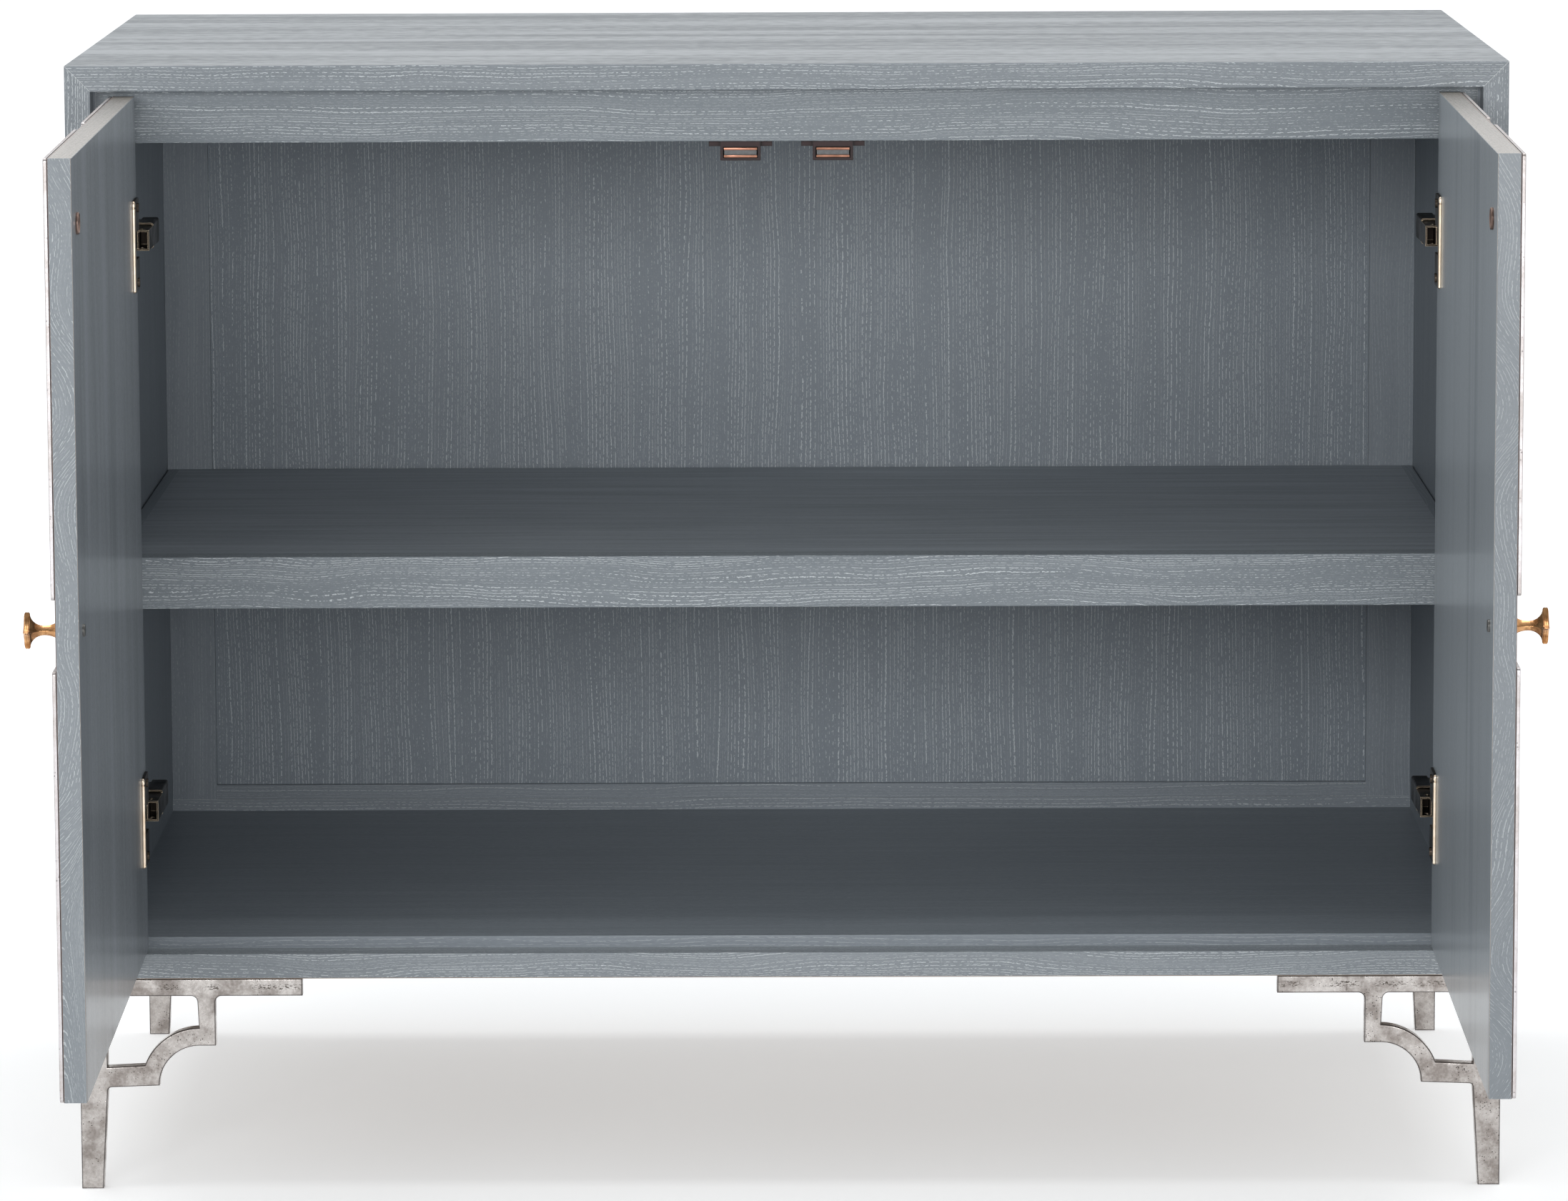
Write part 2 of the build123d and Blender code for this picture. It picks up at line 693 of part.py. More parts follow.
def hollow_square(reach):
    """Corners of a section: a square on its corner with sides that draw in towards their middle."""
    waist = rim_waist + (neck_waist - rim_waist) * (knob_rim - reach) / (knob_rim - knob_neck)
    corners = []
    for step in range(2 * knob_corners):
        turn = radians(180 / knob_corners * step)
        distance = reach * (waist if step % 2 else 1)
        corners.append((distance * cos(turn), distance * sin(turn)))
    return corners


with BuildPart() as knob:
    for distance, radius in knob_sections():
        with BuildSketch(door_plane.offset(door_thickness + distance)):
            with Locations(knob_local):
                Polygon(*hollow_square(radius), align=None)
    loft(ruled=True)
    with BuildSketch(door_plane.offset(door_thickness)):
        with Locations(knob_local):
            Circle(knob_screw_diameter / 2 + bore_clearance)
    extrude(amount=knob_bore_depth, mode=Mode.SUBTRACT)
write_pair("knob", knob)

with BuildPart() as knob_screw:
    with BuildSketch(door_plane):
        with Locations(knob_local):
            Circle(knob_screw_diameter / 2)
    extrude(amount=door_thickness + knob_bore_depth - bore_spare)
    with BuildSketch(door_plane):
        with Locations(knob_local):
            Circle(knob_screw_head / 2)
    extrude(amount=-knob_screw_head_height)
    fillet(knob_screw.edges().sort_by(from_inner_face)[:1], knob_screw_head_height / 2)
write_pair("knob_screw", knob_screw)

with BuildPart() as strike_disc:
    with BuildSketch(door_plane):
        with Locations(strike_local):
            Circle(strike_diameter / 2)
    extrude(amount=-strike_thickness)
    fillet(strike_disc.edges().sort_by(from_inner_face)[:1], arris)
write_pair("strike_disc", strike_disc)

# ---- hinges: a cup in the door, a link, an arm and the base on the side lining ----
for level, height in hinge_heights.items():
    local_z = height - door_bottom
    with BuildPart() as cup:
        with BuildSketch(door_plane):
            with Locations(((cup_length + cup_edge_inset) / 2, local_z)):
                Rectangle(cup_length - cup_edge_inset, cup_height)
        extrude(amount=cup_depth)
        with BuildSketch(door_plane.offset(-flange_thickness)) as flange:
            with Locations(((cup_length + cup_edge_inset) / 2, local_z)):
                Rectangle(cup_length - cup_edge_inset, flange_height)
            fillet(flange.vertices(), flange_corner)
        extrude(amount=flange_thickness)
        mouth = cup_height - 2 * cup_wall
        with BuildSketch(door_plane.offset(-flange_thickness)):
            with Locations((mouth_length / 2, local_z)):
                Rectangle(mouth_length, mouth)
        extrude(amount=cup_depth + flange_thickness - cup_wall, mode=Mode.SUBTRACT)
        own_screws = [spot for spot in flange_screw_places if abs(spot[1] - local_z) < flange_height]
        with BuildSketch(door_plane.offset(-flange_thickness)):
            with Locations(own_screws):
                Circle(small_screw / 2 + bore_clearance)
        extrude(amount=flange_thickness, mode=Mode.SUBTRACT)
        with BuildSketch(Plane.XY.offset(height - cup_height / 2 + cup_wall / 2)):
            with Locations((door_pin[0], front_y + door_pin[1])):
                Circle(hinge_pin_diameter / 2)
        extrude(amount=cup_height - cup_wall)
    write_pair(f"{level}_hinge_cup", cup)

    pins = [(x, front_y + y) for x, y in (arm_pin, door_pin)]
    with BuildPart() as link:
        with BuildSketch(Plane.XY.offset(height - link_height / 2)):
            with Locations(pins):
                Circle(link_eye)
            with Locations(((pins[0][0] + pins[1][0]) / 2, (pins[0][1] + pins[1][1]) / 2)):
                Rectangle(link_length, link_thickness, rotation=link_angle_open)
            with Locations(pins[1]):
                Circle(hinge_pin_diameter / 2 + running_clearance, mode=Mode.SUBTRACT)
        extrude(amount=link_height)
        with BuildSketch(Plane.XY.offset(height - neck_height / 2)):
            with Locations(pins[0]):
                Circle(hinge_pin_diameter / 2)
        extrude(amount=neck_height)
    write_pair(f"{level}_hinge_link", link)

    web_x = -board_inside + arm_web_inset
    neck_web_x = max(web_x, slot_far[0] + link_eye + link_side_gap + arm_sheet)
    neck_front = front_y + arm_pin[1] - neck_front_gap
    channel_front = front_y + arm_front_y
    channel_middle = channel_front + arm_length / 2
    with BuildPart() as arm:
        block((web_x - arm_channel_depth, channel_front, height - arm_height / 2),
              (web_x, channel_front + arm_length, height + arm_height / 2))
        fillet(arm.edges().filter_by(Axis.Y).sort_by(Axis.X)[-2:], arm_corner)
        with Locations((web_x - arm_sheet - arm_channel_depth / 2, channel_middle, height)):
            Box(arm_channel_depth, arm_length, arm_height - 2 * arm_sheet, mode=Mode.SUBTRACT)
        block((arm_pin[0] - link_eye, neck_front, height - neck_height / 2),
              (neck_web_x, channel_middle, height + neck_height / 2))
        inside = neck_height - 2 * arm_sheet
        block_depth = neck_web_x - arm_sheet - arm_pin[0] + link_eye
        with Locations((arm_pin[0] - link_eye + block_depth / 2, (neck_front + channel_front) / 2, height)):
            Box(block_depth, channel_front - neck_front, inside, mode=Mode.SUBTRACT)
        with BuildSketch(Plane.XY.offset(height - neck_height / 2)):
            for end in (slot_near, slot_far):
                run = (end[0] - arm_pin[0], end[1] - arm_pin[1])
                with Locations((arm_pin[0] + run[0] / 2, front_y + arm_pin[1] + run[1] / 2)):
                    SlotCenterToCenter(hypot(*run), hinge_pin_diameter + 2 * slot_clearance,
                                       rotation=degrees(atan2(run[1], run[0])))
        extrude(amount=neck_height, mode=Mode.SUBTRACT)
    write_pair(f"{level}_hinge_arm", arm)

    with BuildPart() as base:
        with Locations((-lining_inside + base_plate / 2, base_middle_y, height)):
            Box(base_plate, base_length, base_height)
        fillet(base.edges().filter_by(Axis.X), base_corner)
        post_end = web_x - arm_sheet
        block((-lining_inside, channel_middle + post_neck_gap, height - base_post_height / 2),
              (post_end, channel_front + arm_length - post_back_inset, height + base_post_height / 2))
        with BuildSketch(Plane.YZ.offset(-lining_inside)):
            with Locations([(base_middle_y, height + end * base_screw_spacing / 2) for end in (-1, 1)]):
                Circle(small_screw / 2 + bore_clearance)
        extrude(amount=base_plate, mode=Mode.SUBTRACT)
    write_pair(f"{level}_hinge_base", base)

with BuildPart() as base_screws:
    for side in (-1, 1):
        with BuildSketch(Plane.YZ.offset(side * (lining_inside - base_plate))):
            with Locations(base_screw_spots):
                Circle(small_screw / 2)
        extrude(amount=side * small_screw_length)
        with BuildSketch(Plane.YZ.offset(side * (lining_inside - base_plate))):
            with Locations(base_screw_spots):
                Circle(small_head / 2)
        extrude(amount=-side * small_head_height)
write("hinge_base_screws", base_screws.part)

with BuildPart() as cup_screws:
    with BuildSketch(door_plane.offset(-flange_thickness)):
        with Locations(flange_screw_places):
            Circle(small_screw / 2)
    extrude(amount=small_screw_length)
    with BuildSketch(door_plane.offset(-flange_thickness)):
        with Locations(flange_screw_places):
            Circle(small_head / 2)
    extrude(amount=-small_head_height)
write_pair("cup_screws", cup_screws)

print(f"front of the case at y {front_y:.3f}, back at {back_y:.3f}, link length {link_length:.3f}")
print(f"arm pin {arm_pin[0]:.4f}, {front_y + arm_pin[1]:.4f};",
      f"door pin {door_pin[0]:.4f}, {front_y + door_pin[1]:.4f}")
print(f"door axis {swing_axis[0]:.4f}, {front_y + swing_axis[1]:.4f}")
print(f"link swings {link_swing:.4f} degrees from closed to open, the door {open_angle:.1f}")
print(f"range further open {full_open_angle - open_angle:.1f} degrees of the door")
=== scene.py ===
# %% [markdown]
# # A limed-oak sideboard with its doors open
# The sideboard is a mitred oak case on cast bracket legs. Its two doors stand open, each with a
# thin metal facing, a brass knob and two concealed hinges. The CAD model is loaded as a fixed
# frame; this lesson gives every surface its finish and models the small shaped parts anew.

from math import cos, pi, radians, sin

import bmesh
import bpy
from mathutils import Matrix, Vector


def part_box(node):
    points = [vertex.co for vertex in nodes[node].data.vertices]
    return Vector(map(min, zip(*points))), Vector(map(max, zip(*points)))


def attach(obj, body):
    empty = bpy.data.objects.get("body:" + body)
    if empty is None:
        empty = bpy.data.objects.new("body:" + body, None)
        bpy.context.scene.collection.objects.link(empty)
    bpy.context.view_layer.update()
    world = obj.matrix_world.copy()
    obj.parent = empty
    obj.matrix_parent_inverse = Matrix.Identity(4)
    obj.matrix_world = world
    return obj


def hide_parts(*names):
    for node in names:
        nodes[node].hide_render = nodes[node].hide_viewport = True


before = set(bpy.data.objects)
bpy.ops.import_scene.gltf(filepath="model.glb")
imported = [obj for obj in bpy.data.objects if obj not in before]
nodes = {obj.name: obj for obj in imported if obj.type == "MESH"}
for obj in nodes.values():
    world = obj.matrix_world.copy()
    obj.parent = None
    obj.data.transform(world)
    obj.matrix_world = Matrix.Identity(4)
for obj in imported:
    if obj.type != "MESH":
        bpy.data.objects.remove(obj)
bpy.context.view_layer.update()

# %% [markdown]
# ## The camera
# A case this long is shot with a long lens from well back, a little above its top, so that the
# top is a thin bright band and the inside of both compartments can be seen.

# %% Set up the camera
case_low, case_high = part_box("bottom_board")[0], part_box("top_board")[1]
CAMERA_SIDE, CAMERA_BACK, CAMERA_UP = 0.0179, 5.3119, 0.4059
TURN, TILT, ROLL = radians(0.225), radians(90 - 7.791), radians(-0.22)
camera_data = bpy.data.cameras.new("camera")
camera_data.sensor_width = 36
camera_data.lens = 157.9
camera_data.shift_y = -0.08
camera_data.clip_end = 60
camera = bpy.data.objects.new("camera", camera_data)
camera.location = (CAMERA_SIDE, case_low.y - CAMERA_BACK, case_high.z + CAMERA_UP)
camera.rotation_euler = (Matrix.Rotation(TURN, 3, "Z") @ Matrix.Rotation(TILT, 3, "X")
                         @ Matrix.Rotation(ROLL, 3, "Z")).to_euler()
bpy.context.scene.collection.objects.link(camera)
bpy.context.scene.camera = camera
print("camera at", tuple(camera.location))

# %% [markdown]
# ## Small helpers for materials
# Every finish is a node tree. These helpers put a node in a tree, set or link its inputs and
# hand back an output, so that the trees further down read like short recipes.

# %% Helpers for node trees
def feed(tree, node, inputs):
    """Links a node's inputs to sockets, or sets them to plain values."""
    for key, value in inputs.items():
        if isinstance(value, bpy.types.NodeSocket):
            tree.links.new(value, node.inputs[key])
        else:
            node.inputs[key].default_value = value


def put(tree, kind, inputs=None, output=0, **settings):
    """Places a node, feeds its inputs and returns one of its outputs."""
    node = tree.nodes.new("ShaderNode" + kind)
    for key, value in settings.items():
        setattr(node, key, value)
    feed(tree, node, inputs or {})
    return node.outputs[output]


def calc(tree, operation, a, b=0.0):
    """One step of arithmetic."""
    return put(tree, "Math", {0: a, 1: b}, operation=operation)


def times(tree, a, b):
    """The product of two values; a mask times a mask is where both hold."""
    return calc(tree, "MULTIPLY", a, b)


def centred(tree, value, middle=0.5):
    """A value less its middle, so that it swings about zero."""
    return calc(tree, "SUBTRACT", value, middle)


def part(tree, vector, axis):
    """One coordinate of a vector: 0, 1 or 2 for x, y or z."""
    return put(tree, "SeparateXYZ", {0: vector}, output=axis)


def surface_coords(tree):
    """The coordinates that a material is drawn on."""
    return tree.nodes.new("ShaderNodeTexCoord").outputs


def span(tree, value, low, high, out_low=0.0, out_high=1.0):
    """Maps low..high to out_low..out_high, with soft ends."""
    return put(tree, "MapRange", {0: value, 1: low, 2: high, 3: out_low, 4: out_high},
               interpolation_type="SMOOTHSTEP")


def tint(tree, factor, a, b):
    """Mixes two colours."""
    return put(tree, "Mix", {0: factor, 6: a, 7: b}, output=2, data_type="RGBA")


def noise(tree, vector, scale, detail=3.0, roughness=0.5):
    """Smooth noise between 0 and 1."""
    return put(tree, "TexNoise", {"Vector": vector, "Scale": scale, "Detail": detail,
                                  "Roughness": roughness})


def stretch(tree, vector, scale, place=(0, 0, 0)):
    """Scales a pattern's coordinates, which draws the pattern out along the small ones."""
    return put(tree, "Mapping", {"Vector": vector, "Scale": scale, "Location": place})


def new_group(name, inputs, outputs):
    """An empty node group with named sockets: (name, kind, default) in, (name, kind) out."""
    group = bpy.data.node_groups.new(name, "ShaderNodeTree")
    for label, kind, value in inputs:
        made = group.interface.new_socket(label, in_out="INPUT", socket_type="NodeSocket" + kind)
        if value is not None:
            made.default_value = value
    for label, kind in outputs:
        group.interface.new_socket(label, in_out="OUTPUT", socket_type="NodeSocket" + kind)
    return group, group.nodes.new("NodeGroupInput").outputs, group.nodes.new("NodeGroupOutput").inputs


def use_group(tree, group, inputs):
    """Places a node group, feeds its inputs and returns its outputs."""
    node = tree.nodes.new("ShaderNodeGroup")
    node.node_tree = group
    feed(tree, node, inputs)
    return node.outputs


def new_material(name, **fixed):
    """A material with one Principled shader; fixed values are set on its own sockets."""
    material = bpy.data.materials.new(name)
    material.use_nodes = True
    shader = material.node_tree.nodes["Principled BSDF"]
    for key, value in fixed.items():
        shader.inputs[key.replace("_", " ")].default_value = value
    return material, material.node_tree, shader.inputs


print("helpers ready")

# %% [markdown]
# ## Limed oak
# Limed oak is open-pored oak, stained and then rubbed with a pale wax or paste that stays in the
# pores. Close up it is a quiet blue-grey with thousands of short pale dashes in loose rows along
# the grain. Noise alone gives only streaks, so the dashes are drawn as rows: the distance across the
# grain is cut into lanes, and each lane holds one thin line, broken up by noise of its own. Slow
# noise bends the lanes and fills or empties them in bands, as growth rings do. The pattern is
# flat, so the group chooses its two directions from the way each face looks.

# %% The oak's pattern as a node group
oak_group, oak_in, oak_out = new_group(
    "limed oak",
    [("Vector", "Vector", None), ("Face", "Vector", None), ("Dash length", "Float", 7.0),
     ("Row pitch", "Float", 3.0), ("Bend", "Float", 3.0)],
    [("Dashes", "Float"), ("Fibre", "Float"), ("Cloud", "Float"), ("Height", "Float")])


def across_grain(tree, vector, face):
    """The flat coordinates of a face: along the grain, and across it on the face."""
    place = part(tree, vector, 0).node.outputs
    looks_up = calc(tree, "GREATER_THAN", calc(tree, "ABSOLUTE", part(tree, face, 2)), 0.7)
    return place[0], put(tree, "Mix", {0: looks_up, 2: place[2], 3: place[1]})


def dash_rows(tree, along, across, length, pitch, shift, fill):
    """Broken pale lines in rows, one row to each pitch; noise of its own breaks up every row."""
    place = calc(tree, "ADD", calc(tree, "DIVIDE", across, pitch), shift)
    row = calc(tree, "FLOOR", place)
    off = calc(tree, "ABSOLUTE", centred(tree, calc(tree, "FRACT", place)))
    lane = put(tree, "CombineXYZ", {0: calc(tree, "DIVIDE", along, length), 1: times(tree, row, 3.77)})
    gaps = noise(tree, lane, 1.0, 1.0)
    limit = span(tree, fill, 0, 1, 0.55, 0.34)
    strong = span(tree, calc(tree, "SUBTRACT", gaps, limit), 0.0, 0.14)
    chance = put(tree, "TexWhiteNoise", {"W": row}, noise_dimensions="1D")
    strong = times(tree, strong, span(tree, chance, 0.0, 0.55, 0.45, 1))
    half = calc(tree, "ADD", times(tree, strong, 0.075), 0.012)
    line = span(tree, calc(tree, "DIVIDE", off, half), 0.3, 1.6, 1, 0)
    return times(tree, line, strong)


tree = oak_group
in_mm = put(tree, "VectorMath", {0: oak_in["Vector"], "Scale": 1000.0}, operation="SCALE")
along, across = across_grain(tree, in_mm, oak_in["Face"])
flat = put(tree, "CombineXYZ", {0: along, 1: across})
slow = noise(tree, stretch(tree, flat, (0.0045, 0.012, 1)), 1.0, 2)
uneven = noise(tree, stretch(tree, flat, (0.002, 0.07, 1), (0, 9, 0)), 1.0, 1)
jag = noise(tree, stretch(tree, flat, (0.35, 0.4, 1)), 1.0, 2)
bent = calc(tree, "ADD", across, times(tree, centred(tree, slow), times(tree, oak_in["Bend"], 6)))
bent = calc(tree, "ADD", bent, times(tree, centred(tree, uneven), 7.0))
rings = put(tree, "CombineXYZ", {0: along, 1: bent})
ring_band = noise(tree, stretch(tree, rings, (0.005, 0.045, 1), (3, 7, 0)), 1.0, 3)
fill = span(tree, ring_band, 0.28, 0.62, 0.3, 1.0)
bent = calc(tree, "ADD", bent, times(tree, centred(tree, jag), 1.3))
first = dash_rows(tree, along, bent, oak_in["Dash length"], oak_in["Row pitch"], 0.0, fill)
second = dash_rows(tree, along, bent, times(tree, oak_in["Dash length"], 0.6),
                   times(tree, oak_in["Row pitch"], 0.61), 31.7, times(tree, fill, 0.6))
dashes = calc(tree, "MAXIMUM", first, times(tree, second, 0.5))
fibre = noise(tree, stretch(tree, rings, (0.16, 1.0, 1), (11, 2, 0)), 1.0, 5, 0.7)
cloud = noise(tree, stretch(tree, rings, (0.0035, 0.09, 1), (5, 1, 0)), 1.0, 5, 0.65)
tree.links.new(dashes, oak_out["Dashes"])
tree.links.new(fibre, oak_out["Fibre"])
tree.links.new(cloud, oak_out["Cloud"])
tree.links.new(calc(tree, "ADD", times(tree, fibre, 0.5), times(tree, dashes, 0.35)), oak_out["Height"])
print("oak group", len(tree.nodes), "nodes")

# %% [markdown]
# ## Worn edges and painted highlights
# Sanding rubs stain off a board's arrises, so they show as thin pale lines; on the top a painted
# highlight makes them paler still, as if they caught the light. The Bevel node rounds the shading
# normal near an edge, and where it leaves the true normal there is an edge. It needs no extra
# geometry, so it also works on the frame's plain triangles.

# %% The edge mask as a node group
edge_group, edge_in, edge_out = new_group(
    "edge mask", [("Radius", "Float", 0.0007)], [("Mask", "Float")])
tree = edge_group
soft_normal = put(tree, "Bevel", {"Radius": edge_in["Radius"]}, samples=4)
true_normal = put(tree, "NewGeometry", output="True Normal")
likeness = put(tree, "VectorMath", {0: soft_normal, 1: true_normal}, output="Value",
               operation="DOT_PRODUCT")
tree.links.new(span(tree, likeness, 0.97, 0.80), edge_out["Mask"])
print("edge group ready")

# %% Oak materials
OAK_DARK = (0.160, 0.185, 0.207, 1)
OAK_LIGHT = (0.262, 0.292, 0.318, 1)
# INNER and FRONT are lit and shaded copies of the oak. Inside surfaces are painted lighter and bluer to
# stand in for light bounced round the case, and front faces are painted darker where the lamps fall full
# on them.
INNER_DARK, INNER_LIGHT = (0.17, 0.197, 0.225, 1), (0.27, 0.305, 0.34, 1)
FRONT_DARK, FRONT_LIGHT = (0.142, 0.167, 0.188, 1), (0.232, 0.264, 0.29, 1)
LIME = (0.60, 0.645, 0.67, 1)
GRAIN_TURN = {"x": (0, 0, 0), "y": (0, 0, radians(-90)), "z": (0, radians(90), 0)}


def limed_oak(name, grain="x", shift=(0, 0, 0), lime=1.0, length=7.0, pitch=2.8, bend=3.0,
              coat=0.25, coat_roughness=0.3, dark=OAK_DARK, light=OAK_LIGHT, streak=0.35, wear_and_highlight=0.35,
              arris=(0.62, 0.64, 0.64, 1), warp=None, touch=None):
    """Oak whose grain runs along one axis; streak sets how far its broad bands differ. The arrises turn
    pale from wear and, most of all on the top, from a painted highlight.

    warp may bend the coordinates before the pattern is drawn, and touch may recolour the result."""
    material, tree, shader = new_material(name, Coat_Weight=coat, Coat_Roughness=coat_roughness,
                                          Coat_IOR=1.5)
    coords = surface_coords(tree)
    placed = warp(tree, coords) if warp else coords["Object"]
    vector = put(tree, "Mapping", {"Vector": placed, "Rotation": GRAIN_TURN[grain], "Location": shift})
    face = put(tree, "Mapping", {"Vector": coords["Normal"], "Rotation": GRAIN_TURN[grain]},
               vector_type="VECTOR")
    oak = use_group(tree, oak_group, {"Vector": vector, "Face": face, "Dash length": length,
                                      "Row pitch": pitch, "Bend": bend})
    tone = calc(tree, "ADD", times(tree, oak["Fibre"], 0.5), times(tree, oak["Cloud"], streak))
    middle = 0.25 + streak / 2
    wood = tint(tree, span(tree, tone, middle - 0.3, middle + 0.3), dark, light)
    limed = tint(tree, times(tree, oak["Dashes"], lime), wood, LIME)
    edge = use_group(tree, edge_group, {})["Mask"]
    # The arrises are tinted pale: partly wear, partly a painted highlight.
    colour = tint(tree, times(tree, edge, wear_and_highlight), limed, arris)
    if touch:
        colour = touch(tree, coords, colour)
    tree.links.new(colour, shader["Base Color"])
    tree.links.new(span(tree, oak["Fibre"], 0.25, 0.75, 0.45, 0.65), shader["Roughness"])
    bump = put(tree, "Bump", {"Height": oak["Height"], "Strength": 0.3, "Distance": 0.0003})
    tree.links.new(bump, shader["Normal"])
    return material


def finish_node(name, material):
    """Gives one CAD node its material."""
    nodes[name].data.materials.clear()
    nodes[name].data.materials.append(material)


def top_bands(tree, coords, colour):
    """Broad pale and dark bands that run the length of the top."""
    broad = noise(tree, stretch(tree, coords["Object"], (0.9, 15, 1)), 1.0, 2)
    narrow = noise(tree, stretch(tree, coords["Object"], (2.5, 48, 1), (3, 1, 0)), 1.0, 2)
    fine = noise(tree, stretch(tree, coords["Object"], (70, 160, 1), (1, 5, 0)), 1.0, 2)
    tone = calc(tree, "ADD", times(tree, broad, 0.4), times(tree, narrow, 0.27))
    tone = calc(tree, "ADD", tone, times(tree, fine, 0.33))
    banded = tint(tree, span(tree, tone, 0.38, 0.62), (0.125, 0.143, 0.159, 1), (0.36, 0.387, 0.412, 1))
    looks_up = calc(tree, "GREATER_THAN", part(tree, coords["Normal"], 2), 0.7)
    return tint(tree, times(tree, looks_up, 0.8), colour, banded)


# The top's arrises are painted nearly white, as a painted highlight along its front edge.
oak_top = limed_oak("oak_top", shift=(0.3, 0.1, 0.2), length=3.4, pitch=2.2, streak=0.4, coat=0.1,
                    wear_and_highlight=1.0, arris=(0.82, 0.84, 0.85, 1), touch=top_bands)
oak_rail = limed_oak("oak_rail", shift=(1.7, 0.4, 0.9), length=3.4, pitch=2.3, streak=0.45,
                     dark=FRONT_DARK, light=FRONT_LIGHT)
oak_floor = limed_oak("oak_floor", shift=(4.1, 0.7, 0.3), lime=0.4, dark=INNER_DARK,
                      light=(0.29, 0.325, 0.36, 1))
oak_shelf = limed_oak("oak_shelf", shift=(5.3, 0.1, 0.6), length=3.4, pitch=2.2, bend=6, streak=0.45,
                      dark=FRONT_DARK, light=FRONT_LIGHT)
oak_shelf_top = limed_oak("oak_shelf_top", shift=(6.3, 0.5, 0.6), lime=0.4, streak=0.9,
                          dark=(0.20, 0.228, 0.257, 1), light=(0.40, 0.44, 0.48, 1))
oak_end = limed_oak("oak_end", grain="y", shift=(0.2, 1.5, 0.6), lime=0.3, dark=INNER_DARK,
                    light=INNER_LIGHT)
oak_side = limed_oak("oak_side", grain="z", shift=(0.6, 1.2, 0.4), length=3.6, pitch=2.4)
oak_lining = limed_oak("oak_lining", grain="z", shift=(0.9, 2.2, 0.4), lime=0.45, length=3.5,
                       dark=INNER_DARK, light=INNER_LIGHT)
oak_panel = limed_oak("oak_panel", grain="z", shift=(1.9, 0.3, 0.8), length=3.4, pitch=3.1, bend=2.0,
                      lime=0.85, streak=0.12, dark=INNER_DARK, light=(0.25, 0.29, 0.33, 1))
oak_stile = limed_oak("oak_stile", grain="z", shift=(3.3, 0.9, 0.1), lime=0.25, length=3.4,
                      dark=INNER_DARK, light=INNER_LIGHT)
oak_back_rail = limed_oak("oak_back_rail", shift=(2.3, 0.9, 0.1), lime=0.6, length=3.4,
                          dark=INNER_DARK, light=INNER_LIGHT)
print("oak ready:", len(bpy.data.materials), "materials so far")

# %% [markdown]
# ## Touches of bare wood
# Where the stain has rubbed off, or never reached, the wood shows its own colour. The bottom
# board has a thin tan line along its lower arris. The doors' top edges are left raw, with a speckled
# core and a brown glue line beside the facing, and their free edges are cut across the growth
# rings, so the grain runs aslant there. Each touch is a mask made from the place on the board.

# %% The bottom board's oak
TAN, GLUE_BROWN = (0.42, 0.31, 0.22, 1), (0.16, 0.085, 0.055, 1)


def within(tree, value, place, reach):
    """A mask that is 1 at a place and fades out at a distance."""
    return span(tree, calc(tree, "ABSOLUTE", centred(tree, value, place)), reach * 0.6, reach, 1, 0)


def facing(tree, coords, axis):
    """A mask for the faces that look along an axis, either way."""
    return calc(tree, "GREATER_THAN", calc(tree, "ABSOLUTE", part(tree, coords["Normal"], axis)), 0.7)


def tan_foot(tree, coords, colour):
    """The rubbed tan line along the lower arris of the bottom board."""
    line = within(tree, part(tree, coords["Object"], 2), case_low.z, 0.0009)
    return tint(tree, times(tree, line, 0.7), colour, TAN)


# The bottom board's oak is painted a little lighter to lift the shade on it.
oak_bottom = limed_oak("oak_bottom", shift=(2.9, 0.2, 1.4), length=3.4, pitch=2.3, bend=5, streak=0.45,
                       dark=(0.175, 0.2, 0.222, 1), light=(0.285, 0.316, 0.343, 1), touch=tan_foot)
print("bottom board's arris at", round(case_low.z, 4))

# %% The doors' oak
DOOR_LEAN = radians(0.8)
EDGE_GREY = (0.13, 0.15, 0.17, 1)
# Pale and dark streaks on the doors' inner faces are painted reflections in the lacquer.
REFLECTION_STREAK_PALE, REFLECTION_STREAK_DARK = (0.36, 0.40, 0.44, 1), (0.10, 0.115, 0.135, 1)
RAW_DARK, RAW_LIGHT = (0.12, 0.106, 0.09, 1), (0.33, 0.303, 0.264, 1)
GLUE_INSET, GLUE_REACH, ARRIS_REACH = 0.0011, 0.0008, 0.0007


def door_out(sign):
    """The direction in which a door's facing looks; sign is -1 for the left door, 1 for the right."""
    return Vector((sign * cos(DOOR_LEAN), -sin(DOOR_LEAN), 0))


